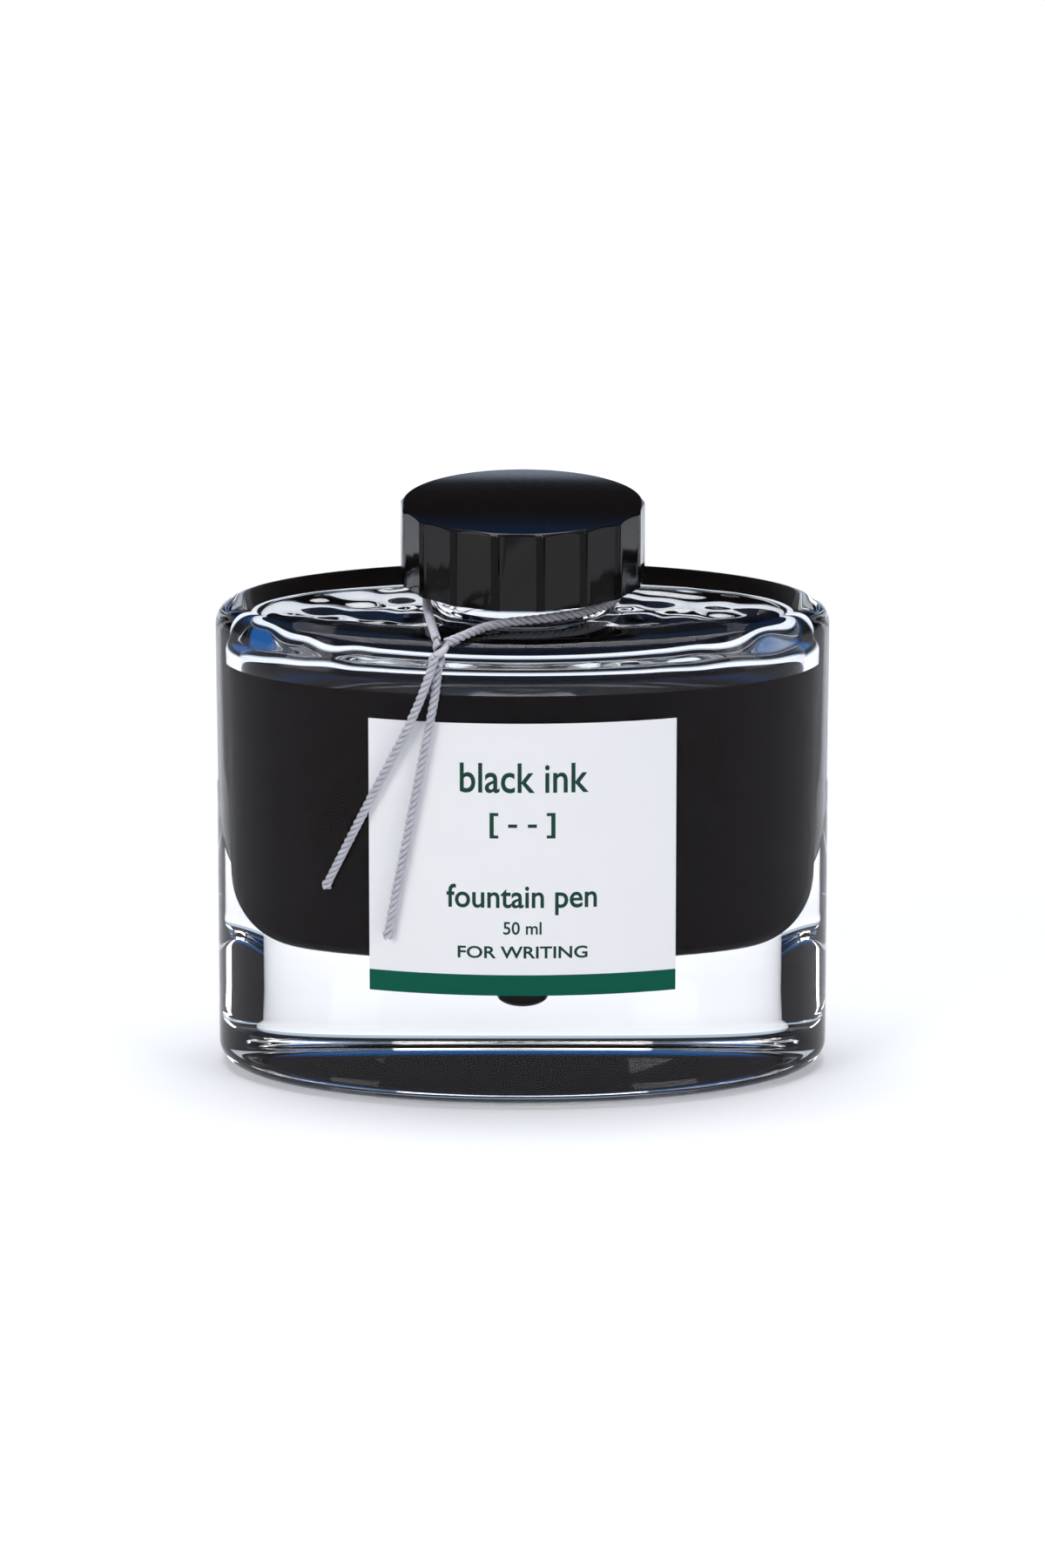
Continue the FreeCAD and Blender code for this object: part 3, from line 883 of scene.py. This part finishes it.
    def walls(self) -> list[Ring]:
        """Goes down the walls, over the floor's corner and down the well.

        Returns:
            Rings of the hollow, from under the eaves to the well's tip.
        """
        wide, deep = self.hollow()
        foot_x, foot_y = wide - self.wall_taper_side, deep - self.wall_taper_face
        eaves, floor = self.eaves(), self.base_thickness
        bend = floor + self.floor_corner_rise
        rings = []
        for share in between(0.0, 1.0, 10):
            half_x, half_y = wide + (foot_x - wide) * share, deep + (foot_y - deep) * share
            rings.append(Ring(half_x, half_y, eaves + (bend - eaves) * share))
        for t in quarter(18, 90.0, 0.0)[1:]:
            inward, rise = 1 - math.sin(t), 1 - math.cos(t)
            half_x = foot_x - self.floor_corner_side * inward
            half_y = foot_y - self.floor_corner_face * inward
            rings.append(Ring(half_x, half_y, floor + self.floor_corner_rise * rise))
        edge = self.well_round / 4
        rings.append(Ring(self.well_radius + self.well_round, self.well_radius + edge, floor))
        rings.append(circle(self.well_radius, floor - edge))
        tip = self.well_tip_radius
        cone_foot = self.well_tip_z() + tip / 2
        for share in between(0.0, 1.0, 5):
            radius = self.well_radius + (tip - self.well_radius) * share
            rings.append(circle(radius, floor - edge + (cone_foot - floor + edge) * share))
        for t in quarter(8)[1:-1]:
            rings.append(circle(tip * math.cos(t), cone_foot - tip / 2 * math.sin(t)))
        return rings

    def well_tip_z(self) -> float:
        """Height of the lowest point of the hollow."""
        return self.base_thickness - self.well_depth

    def raise_thread(self, piece: bpy.types.Object) -> None:
        """Moves the neck's points outwards along a right-handed thread.

        Args:
            piece: the glass.
        """
        start = self.shoulder_z + self.thread_start
        slope = (self.thread_root_width - self.thread_crest_width) / 2
        on_neck, same_turn = 0.02, 1e-3
        for vertex in piece.data.vertices:
            x, y, z = vertex.co / MM
            radius = math.hypot(x, y)
            if abs(radius - self.neck_radius) > on_neck or z < self.shoulder_z + self.neck_root_round:
                continue
            turn = math.atan2(y, x) / math.tau % 1.0
            nearest = round((z - start) / self.thread_pitch - turn) + turn
            nearest = min(max(nearest, 0.0), self.thread_turns)
            if same_turn < abs(nearest % 1.0 - turn) < 1 - same_turn:
                continue
            away = abs(z - start - nearest * self.thread_pitch)
            height = min(max((self.thread_root_width / 2 - away) / slope, 0.0), 1.0) * self.thread_depth
            out = (radius + height) / radius
            vertex.co = Vector((x * out, y * out, z)) * MM

    def wave_roof(self, piece: bpy.types.Object) -> None:
        """Gives the underside of the shoulder the slow waves of pressed glass.

        Args:
            piece: the glass.
        """
        roof, eaves, throat = self.roof_z(), self.eaves(), self.throat()
        wide, deep = self.hollow()
        inner, outer = throat + self.wave_free_throat, 0.999
        for vertex in piece.data.vertices:
            x, y, z = vertex.co / MM
            reach, outward = math.hypot(x, y), math.hypot(x / wide, y / deep)
            if not eaves < z < roof + HAIR or reach < inner or outward > outer:
                continue
            fade = min(1.0, (reach - throat) / self.wave_fade_in) * (z - eaves) / self.roof_corner
            if z < roof - HAIR:
                fade *= min(1.0, max(0.0, abs(x) - self.wave_side_from) / self.wave_side_fade)
            vertex.co.z += slow_waves(x, y) / 2 * self.press_wave * fade * MM

    def build(self) -> bpy.types.Object:
        """Builds the glass and ties it to the frame.

        Returns:
            The glass.
        """
        rings = self.outside() + self.bore() + self.roof() + self.walls()
        skin = RingSkin(rings[0], self.around)
        for ring in rings[1:]:
            skin.grow(ring)
        piece = skin.finish(self.well_tip_z())
        self.raise_thread(piece)
        self.wave_roof(piece)
        shade(piece, Crease.GLASS)
        finish = ClearGlass().material()
        return hand_over(piece, "glass_body", "bottle", finish, ["glass_bottle"])


@dataclass
class InkPool:
    """The ink in the bottle, up to its level, with a meniscus at the glass."""

    glass: GlassBottle
    level: float
    wetting: float = 0.02
    meniscus_width: float = 1.3
    meniscus_rise: float = 0.5
    free_depth: float = 0.05
    free_slope: float = 0.2

    @classmethod
    def from_frame(cls, glass: GlassBottle) -> "InkPool":
        """Takes the ink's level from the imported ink."""
        _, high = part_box("ink_fill")
        return cls(glass=glass, level=high[2] / MM)

    def build(self) -> bpy.types.Object:
        """Builds the ink and ties it to the frame.

        Returns:
            The ink.
        """
        top, wet = self.level + self.meniscus_rise, self.wetting
        shell = [r for r in self.glass.roof() + self.glass.walls() if r.z < top]
        grown = [Ring(r.half_x + wet, r.half_y + wet, r.z - wet) for r in reversed(shell)]
        skin = RingSkin(grown[0], self.glass.around)
        for ring in grown[1:]:
            skin.grow(ring)
        above = min((r for r in self.glass.roof() if r.z >= top), key=lambda r: r.z)
        last = grown[-1]
        share = (top - last.z) / (above.z - last.z)
        edge_x = last.half_x + (above.half_x - last.half_x) * share
        edge_y = last.half_y + (above.half_y - last.half_y) * share
        skin.grow(Ring(edge_x, edge_y, top))
        for t in between(0.0, 1.0, 8):
            inset = self.meniscus_width * t
            skin.grow(Ring(edge_x - inset, edge_y - inset, self.level + self.meniscus_rise * (1 - t) ** 3))
        for share in (0.75, 0.4, 0.1):
            skin.grow(Ring(edge_x * share, edge_y * share, self.level))
        piece = skin.finish(self.level)
        shade(piece, Crease.GLASS)
        against_glass = DarkInk("ink_against_glass", 1.08).material()
        hand_over(piece, "ink_pool", "bottle", against_glass, ["ink_fill"])
        piece.data.materials.append(DarkInk("ink_free_top", 1.34).material())
        lowest = (self.level - self.free_depth) * MM
        for face in piece.data.polygons:
            face.material_index = int(face.center.z > lowest and face.normal.z > self.free_slope)
        return piece


# Label


@dataclass(frozen=True)
class Line:
    """One line of generic wording on the label, in millimetres from the label's foot."""

    words: str
    height: float
    width: float
    baseline: float
    weight: float = 0.0


@dataclass
class PaperLabel:
    """The label round the front of the glass, and its printing."""

    glass: GlassBottle
    half_width: float
    foot_z: float
    height: float
    glue: float = 0.06
    thickness: float = 0.12
    edge_soft: float = 0.03
    font_size: float = 1.4
    print_thickness: float = 0.008
    print_lift: float = 0.006
    lines: tuple[Line, ...] = (
        Line("black ink", 4.0, 16.4, 27.3, 0.06),
        Line("[ - - ]", 2.6, 8.4, 22.0, 0.06),
        Line("fountain pen", 3.1, 19.2, 11.9, 0.06),
        Line("50 ml", 1.7, 4.9, 8.3, 0.03),
        Line("FOR WRITING", 1.6, 16.6, 5.1, 0.04),
    )

    @classmethod
    def from_frame(cls, glass: GlassBottle) -> "PaperLabel":
        """Takes the label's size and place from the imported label."""
        low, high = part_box("front_label")
        return cls(glass=glass, half_width=high[0] / MM, foot_z=low[2] / MM, height=(high[2] - low[2]) / MM)

    def wrap(self, piece: bpy.types.Object, out: float) -> None:
        """Bends a piece that stands flat at Y = 0 round the front of the glass.

        Args:
            piece: the piece, its depth along Y.
            out: how far its Y = 0 goes in front of the glass, in millimetres.
        """
        for vertex in piece.data.vertices:
            x = vertex.co.x / MM
            vertex.co.y -= (self.glass.face_y(x) + out) * MM

    def paper(self) -> bpy.types.Object:
        """Builds the sheet of paper.

        Returns:
            The sheet.
        """
        deselect_all()
        bpy.ops.mesh.primitive_grid_add(x_subdivisions=56, y_subdivisions=20, size=1.0)
        sheet = active()
        open_for_edit(sheet)
        bpy.ops.transform.resize(value=(2 * self.half_width * MM, self.height * MM, 1))
        bpy.ops.transform.rotate(value=-math.pi / 2, orient_axis="X", center_override=(0, 0, 0))
        bpy.ops.transform.translate(value=(0, 0, (self.foot_z + self.height / 2) * MM))
        close_edit()
        apply_modifier(sheet, "SOLIDIFY", thickness=self.thickness * MM, offset=0.0)
        apply_modifier(sheet, "BEVEL", width=self.edge_soft * MM, segments=1, limit_method="ANGLE")
        self.wrap(sheet, self.glue + self.thickness / 2)
        shade(sheet, Crease.PAPER)
        finish = LabelPaper().material()
        return hand_over(sheet, "label_sheet", "bottle", finish, ["front_label"])

    def printing(self) -> bpy.types.Object:
        """Builds the printed words as one thin piece.

        Returns:
            The words.
        """
        made = []
        for line in self.lines:
            deselect_all()
            bpy.ops.object.text_add()
            text = active()
            text.data.body = line.words
            text.data.size = line.height * MM * self.font_size
            text.data.align_x = "CENTER"
            text.data.extrude = self.print_thickness * MM
            text.data.offset = line.weight * MM
            text.data.resolution_u = 4
            bpy.ops.object.convert(target="MESH")
            text = active()
            text.scale.x = line.width / (text.dimensions.x / MM)
            text.rotation_euler.x = math.pi / 2
            text.location.z = (self.foot_z + line.baseline) * MM
            apply_place(text)
            made.append(text)
        words = join(made)
        self.wrap(words, self.glue + self.thickness + self.print_lift)
        return hand_over(words, "label_print", "bottle", Print().material())

    def build(self) -> None:
        """Builds the paper and its printing."""
        self.paper()
        self.printing()


# Cap


@dataclass
class FacetedCap:
    """The black cap: a hollow round with a bevelled top and flat facets cut round its side."""

    foot_z: float
    top_z: float
    radius: float = 15.7
    facets: int = 17
    facet_share: float = 0.9
    facet_turn: float = -7.8
    top_bevel: float = 0.45
    bore_radius: float = 14.1
    roof_z: float = 74.1
    edge_soft: float = 0.06
    edge_from: float = 12.0
    around: int = 255

    @classmethod
    def from_frame(cls) -> "FacetedCap":
        """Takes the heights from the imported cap."""
        low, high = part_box("cap_shell")
        return cls(foot_z=low[2] / MM, top_z=high[2] / MM)

    def cut_facets(self, piece: bpy.types.Object) -> None:
        """Cuts the flat facets round the side.

        Args:
            piece: the round cap.
        """
        away = self.radius - self.radius * (1 - math.cos(math.pi / self.facets)) * self.facet_share
        for k in range(self.facets):
            angle = math.radians(self.facet_turn) + math.tau * k / self.facets
            out = Vector((math.cos(angle), math.sin(angle), 0))
            open_for_edit(piece)
            bpy.ops.mesh.bisect(plane_co=out * away * MM, plane_no=out, use_fill=True, clear_outer=True)
            close_edit()

    def build(self) -> bpy.types.Object:
        """Builds the cap and ties it to the frame.

        Returns:
            The cap.
        """
        deselect_all()
        middle = (self.foot_z + self.top_z) / 2
        bpy.ops.mesh.primitive_cylinder_add(
            vertices=self.around,
            radius=self.radius * MM,
            depth=(self.top_z - self.foot_z) * MM,
            location=(0, 0, middle * MM),
        )
        piece = active()
        apply_place(piece)
        open_for_edit(piece)
        pick_edges(piece, lambda a, b: min(a.z, b.z) > (self.top_z - HAIR) * MM)
        bpy.ops.mesh.bevel(offset=self.top_bevel * MM, segments=1)
        pick_faces(piece, lambda face: face.normal.z < LOOKS_DOWN)
        bpy.ops.mesh.inset(thickness=(self.radius - self.bore_radius) * MM)
        rise = (0, 0, (self.roof_z - self.foot_z) * MM)
        bpy.ops.mesh.extrude_region_move(TRANSFORM_OT_translate={"value": rise})
        close_edit()
        self.cut_facets(piece)
        sharp = math.radians(self.edge_from)
        width = self.edge_soft * MM
        apply_modifier(piece, "BEVEL", width=width, segments=2, limit_method="ANGLE", angle_limit=sharp)
        shade(piece, Crease.CAP)
        return hand_over(piece, "cap_facets", "cap", BlackGloss().material(), ["cap_shell"])


class CapInside:
    """The threaded insert and the sealing disc, whose CAD shapes are right as they are."""

    def dress(self) -> None:
        """Gives both CAD nodes their materials."""
        finishes = {
            "cap_thread_insert": Moulded("insert_plastic", (0.035, 0.034, 0.034), (0.05, 0.048, 0.047), 0.42),
            "cap_liner": Moulded("liner_foam", (0.78, 0.78, 0.75), (0.86, 0.86, 0.84), 0.75),
        }
        for node, finish in finishes.items():
            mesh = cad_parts[node].data
            mesh.materials.clear()
            mesh.materials.append(finish.material())
            log.info("%s: dressed in %s", node, finish.name)


# Cord


@dataclass
class TwistedCord:
    """A cord of a few strands laid round each other along a smooth route. Sizes in millimetres."""

    name: str
    route: Sequence[Point]
    diameter: float = 1.2
    strands: int = 3
    lay: float = 2.9
    flare: float = 0.0
    flare_length: float = 1.6
    step: int = 22

    def centreline(self) -> list[Vector]:
        """Lays the smooth curve that the route controls and reads it.

        Returns:
            Points along it, in metres.
        """
        corners = [[v * MM for v in place] for place in self.route]
        holder = lay_curve(f"{self.name}_route", Run.SMOOTH, corners, self.step)
        bpy.context.view_layer.update()
        line = bpy.data.meshes.new_from_object(holder)
        points = [v.co.copy() for v in line.vertices]
        bpy.data.curves.remove(holder.data)
        bpy.data.meshes.remove(line)
        return points

    def strand(self, line: Sequence[Vector], phase: float) -> bpy.types.Object:
        """Builds one strand, wound round the centreline.

        Args:
            line: the cord's centreline.
            phase: where round the cord the strand starts, in turns.

        Returns:
            The strand as a mesh.
        """
        radius = self.diameter / 2
        touching = math.sin(math.pi / self.strands)
        thick = radius * touching / (1 + touching)
        off = radius - thick
        total = sum((b - a).length for a, b in zip(line, line[1:]))
        side = (line[1] - line[0]).orthogonal().normalized()
        done = 0.0
        spots = []
        for k, place in enumerate(line):
            ahead = (line[min(k + 1, len(line) - 1)] - line[max(k - 1, 0)]).normalized()
            side = (side - ahead * side.dot(ahead)).normalized()
            if k:
                done += (place - line[k - 1]).length
            turn = Matrix.Rotation(math.tau * (done / MM / self.lay + phase), 3, ahead)
            near_end = max(0.0, 1 - (total - done) / (self.flare_length * MM))
            spots.append(place + turn @ side * off * MM * (1 + self.flare * near_end ** 2))
        holder = lay_curve(self.name, Run.STRAIGHT, spots)
        holder.data.bevel_depth = thick * MM
        holder.data.bevel_resolution = 3
        holder.data.use_fill_caps = True
        select_only(holder)
        bpy.ops.object.convert(target="MESH")
        return active()

    def note_grooves(self, piece: bpy.types.Object, line: Sequence[Vector]) -> None:
        """Stores how far each point lies from the middle of the cord, as a share of its radius, which the
        cord's material uses to paint shade into the grooves.

        Args:
            piece: the cord.
            line: its centreline.
        """
        tree = KDTree(len(line))
        for k, place in enumerate(line):
            tree.insert(place, k)
        tree.balance()
        outward = piece.data.attributes.new("outward", "FLOAT", "POINT")
        for k, vertex in enumerate(piece.data.vertices):
            _, nearest, _ = tree.find(vertex.co)
            ahead = (line[min(nearest + 1, len(line) - 1)] - line[max(nearest - 1, 0)]).normalized()
            away = vertex.co - line[nearest]
            outward.data[k].value = (away - ahead * away.dot(ahead)).length / (self.diameter / 2 * MM)

    def build(self) -> tuple[bpy.types.Object, list[Vector]]:
        """Builds the cord.

        Returns:
            The cord as one mesh, and its centreline.
        """
        line = self.centreline()
        piece = join([self.strand(line, k / self.strands) for k in range(self.strands)])
        self.note_grooves(piece, line)
        shade(piece, Crease.CORD)
        return piece, line


@dataclass
class NeckCord:
    """The cord that is tied round the neck: its turn, its knot and its two tails."""

    glass: GlassBottle
    diameter: float = 1.2
    knot_diameter: float = 2.1
    knot_lay: float = 4.0
    tail_flare: float = 0.7
    turn_gap: float = 0.1
    turn_from: float = -75.0
    turn_step: float = 30.0
    turn_lifts: tuple[float, ...] = (1.2, 1.15, 1.1, 1.05, 1.0, 1.0, 1.0, 1.0, 1.0, 1.0)
    strand_right: tuple[Point, ...] = ((-9.7, 0.98, 0.25), (-7.4, 0.8, 0.75), (-3.9, 0.26, 0.95))
    strand_left: tuple[Point, ...] = ((-12.0, -0.244, 0.85), (-11.4, 0.43, 0.85), (-10.9, 0.895, 0.5))
    tail_left: tuple[Point, ...] = (
        (-11.0, 1.45, 1.1),
        (-12.2, 1.37, 5.2),
        (-14.7, 0.72, 11.4),
        (-18.3, 0.42, 18.7),
        (-22.1, 0.34, 26.7),
        (-25.2, 0.34, 33.4),
    )
    tail_right: tuple[Point, ...] = (
        (-10.6, 0.35, 1.4),
        (-10.8, 0.35, 5.3),
        (-11.9, 0.3, 11.0),
        (-13.4, 0.3, 18.9),
        (-14.8, 0.3, 26.1),
        (-16.2, 0.3, 33.3),
        (-17.3, 0.3, 39.4),
    )
    knot: tuple[Point, ...] = ((-10.2, 0.3, -0.5), (-10.4, 0.5, 0.3), (-10.75, 0.65, 1.4), (-11.0, 0.7, 2.4))

    def on_shoulder(self, x: float, share: float, lift: float) -> Point:
        """A place over the shoulder, a share of the way from the neck to the front face."""
        reach = self.glass.half_depth - self.glass.neck_radius
        return (x, -(self.glass.neck_radius + share * reach), self.glass.shoulder_z + lift)

    def before_face(self, x: float, gap: float, drop: float) -> Point:
        """A place for the cord in front of the curved face, below the shoulder."""
        return (x, -(self.glass.face_y(x) + gap + self.diameter / 2), self.glass.shoulder_z - drop)

    def neck_turn(self) -> list[Point]:
        """Goes round the neck.

        Returns:
            Corners of the turn.
        """
        lies_on = self.glass.neck_radius + self.diameter / 2 + self.turn_gap
        corner = lies_on / math.cos(math.radians(self.turn_step / 2))
        points = []
        for k, lift in enumerate(self.turn_lifts):
            angle = math.radians(self.turn_from + k * self.turn_step)
            points.append((corner * math.cos(angle), corner * math.sin(angle), self.glass.shoulder_z + lift))
        return points

    def build_loop(self, finish: bpy.types.Material) -> None:
        """Builds the turn round the neck and its two strands.

        Args:
            finish: its material.
        """
        route = [self.on_shoulder(*p) for p in self.strand_right]
        route += self.neck_turn()
        route += [self.on_shoulder(*p) for p in self.strand_left]
        loop, _ = TwistedCord("cord_loop", route, self.diameter).build()
        hand_over(loop, "cord_loop", "bottle", finish, ["cord_neck_loop"])

    def build_knot(self, finish: bpy.types.Material) -> None:
        """Builds the knot: the two strands laid once round each other.

        Args:
            finish: its material.
        """
        route = [self.before_face(*p) for p in self.knot]
        knot, _ = TwistedCord("cord_cross", route, self.knot_diameter, strands=2, lay=self.knot_lay).build()
        hand_over(knot, "cord_cross", "bottle", finish, ["cord_knot"])

    def build_tail(self, name: str, node: str, places: Sequence[Point], finish: bpy.types.Material) -> None:
        """Args:
            name: the piece's name.
            node: the CAD node it stands for.
            places: its route.
            finish: its material.
        """
        route = [self.before_face(*p) for p in places]
        tail, line = TwistedCord(name, route, self.diameter, flare=self.tail_flare).build()
        hand_over(tail, name, "bottle", finish, [node])

    def build(self) -> None:
        """Builds the whole cord."""
        finish = SilverCord().material()
        self.build_loop(finish)
        self.build_knot(finish)
        self.build_tail("cord_end_left", "cord_tail_left", self.tail_left, finish)
        self.build_tail("cord_end_right", "cord_tail_right", self.tail_right, finish)


# Studio


@dataclass(frozen=True)
class SoftBox:
    """A soft area light that points at the object."""

    name: str
    place: Point
    width: float
    height: float
    watts: float
    colour: Colour = (1.0, 1.0, 1.0)

    def build(self, aim: Vector) -> None:
        """Places the light and points it.

        Args:
            aim: the place that it points at.
        """
        lamp = bpy.data.lights.new(self.name, "AREA")
        lamp.shape = "RECTANGLE"
        lamp.size = self.width
        lamp.size_y = self.height
        lamp.energy = self.watts
        lamp.color = self.colour
        holder = bpy.data.objects.new(self.name, lamp)
        holder.location = self.place
        holder.rotation_euler = (aim - Vector(self.place)).to_track_quat("-Z", "Y").to_euler()
        bpy.context.scene.collection.objects.link(holder)


def seen_directly(tree: Tree) -> bpy.types.NodeSocket:
    """One for a ray from the camera, and for one that gloss or glass sends on, and else nothing."""
    path = tree.add("LightPath").outputs
    through = tree.maths("MAXIMUM", path["Is Glossy Ray"], path["Is Transmission Ray"])
    return tree.maths("MAXIMUM", path["Is Camera Ray"], through)


@dataclass
class Studio:
    """A pale floor, soft lights and a long lens."""

    distance: float = 1.2295
    elevation: float = 17.75
    lens: float = 218.0
    shift_y: float = 0.0302
    aim_z: float = 0.0312
    clip: tuple[float, float] = (0.05, 50.0)
    floor_size: float = 12.0
    floor_grey: Colour = (0.8, 0.8, 0.8)
    floor_pale: Colour = (0.82, 0.82, 0.82)
    glow_colour: Colour = (1.0, 0.98, 0.94)
    glow_over: tuple[float, float] = (0.2, 0.9)
    glow: tuple[float, float] = (0.17, 0.75)
    sweep_top: float = 0.12
    sweep_fade: float = 0.03
    blue_over: tuple[float, float] = (0.37, 0.5)
    ceiling_over: tuple[float, float] = (0.6, 0.95)
    sweep: Colour = (0.5, 0.6, 0.74)
    dark_wall: Colour = (0.014, 0.013, 0.014)
    blue_wall: Colour = (0.02, 0.11, 0.34)
    ceiling: Colour = (0.4, 0.46, 0.54)
    lights: tuple[SoftBox, ...] = (
        SoftBox("top_box", (0.0, 0.1, 0.95), 0.8, 0.5, 8.0, (1.0, 0.98, 0.95)),
        SoftBox("front_left_box", (-0.75, -0.75, 0.55), 0.5, 0.7, 5.6, (1.0, 0.97, 0.93)),
        SoftBox("front_right_box", (0.85, -0.6, 0.5), 0.4, 0.7, 3.5, (1.0, 0.97, 0.93)),
    )

    def floor(self) -> None:
        """Builds the floor. Rays from the camera see it glow, and more so far off: the backdrop is white."""
        deselect_all()
        bpy.ops.mesh.primitive_plane_add(size=self.floor_size)
        floor = active()
        floor.name = "floor"
        pale = Surface("pale_floor", 3.0, 200.0)
        pale.paint(pale.drift, self.floor_grey, self.floor_pale)
        pale.plain(Roughness=0.7, Emission_Color=opaque(self.glow_colour))
        tree = pale.tree
        away = tree.add("VectorMath", {"operation": "LENGTH"}, in_0=tree.where()).outputs["Value"]
        glow = tree.spread(away, *self.glow_over, *self.glow)
        pale.feed("Emission Strength", tree.maths("MULTIPLY", seen_directly(tree), glow))
        floor.data.materials.append(pale.made)
        floor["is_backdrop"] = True

    def world(self) -> None:
        """Builds the surroundings: a pale sweep, and over it a room: dark, then blue, then pale."""
        world = bpy.data.worlds.new("studio")
        bpy.context.scene.world = world
        world.use_nodes = True
        tree = Tree(world.node_tree)
        height = tree.parts(tree.where("Generated"))["Z"]
        wall = tree.spread(height, self.sweep_top - self.sweep_fade, self.sweep_top)
        blue = tree.spread(height, *self.blue_over)
        overhead = tree.spread(height, *self.ceiling_over)
        room = tree.blend(blue, opaque(self.dark_wall), opaque(self.blue_wall))
        room = tree.blend(overhead, room, opaque(self.ceiling))
        background = world.node_tree.nodes["Background"]
        tree.link(tree.blend(wall, opaque(self.sweep), room), background.inputs["Color"])

    def camera(self) -> None:
        """Places the camera."""
        lens = bpy.data.cameras.new("camera")
        lens.sensor_fit = "AUTO"
        lens.sensor_width = 36.0
        lens.lens = self.lens
        lens.shift_y = self.shift_y
        lens.clip_start, lens.clip_end = self.clip
        holder = bpy.data.objects.new("camera", lens)
        up = math.radians(self.elevation)
        back = Vector((0, -math.cos(up), math.sin(up)))
        holder.location = Vector((0, 0, self.aim_z)) + back * self.distance
        holder.rotation_euler = (-back).to_track_quat("-Z", "Y").to_euler()
        bpy.context.scene.collection.objects.link(holder)
        bpy.context.scene.camera = holder

    def build(self) -> None:
        """Builds the studio."""
        self.floor()
        self.world()
        for light in self.lights:
            light.build(Vector((0, 0, self.aim_z)))
        self.camera()
        bpy.context.scene.view_settings.view_transform = "Standard"


def main() -> None:
    """Builds the scene, sub-assembly by sub-assembly."""
    logging.basicConfig(level=logging.INFO, format="%(name)s: %(message)s")
    cad_box = [v.copy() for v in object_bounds()]
    glass = GlassBottle.from_frame()
    Studio().build()
    NeckCord(glass).build()
    glass.build()
    InkPool.from_frame(glass).build()
    PaperLabel.from_frame(glass).build()
    FacetedCap.from_frame().build()
    CapInside().dress()


if __name__ == "__main__":
    main()
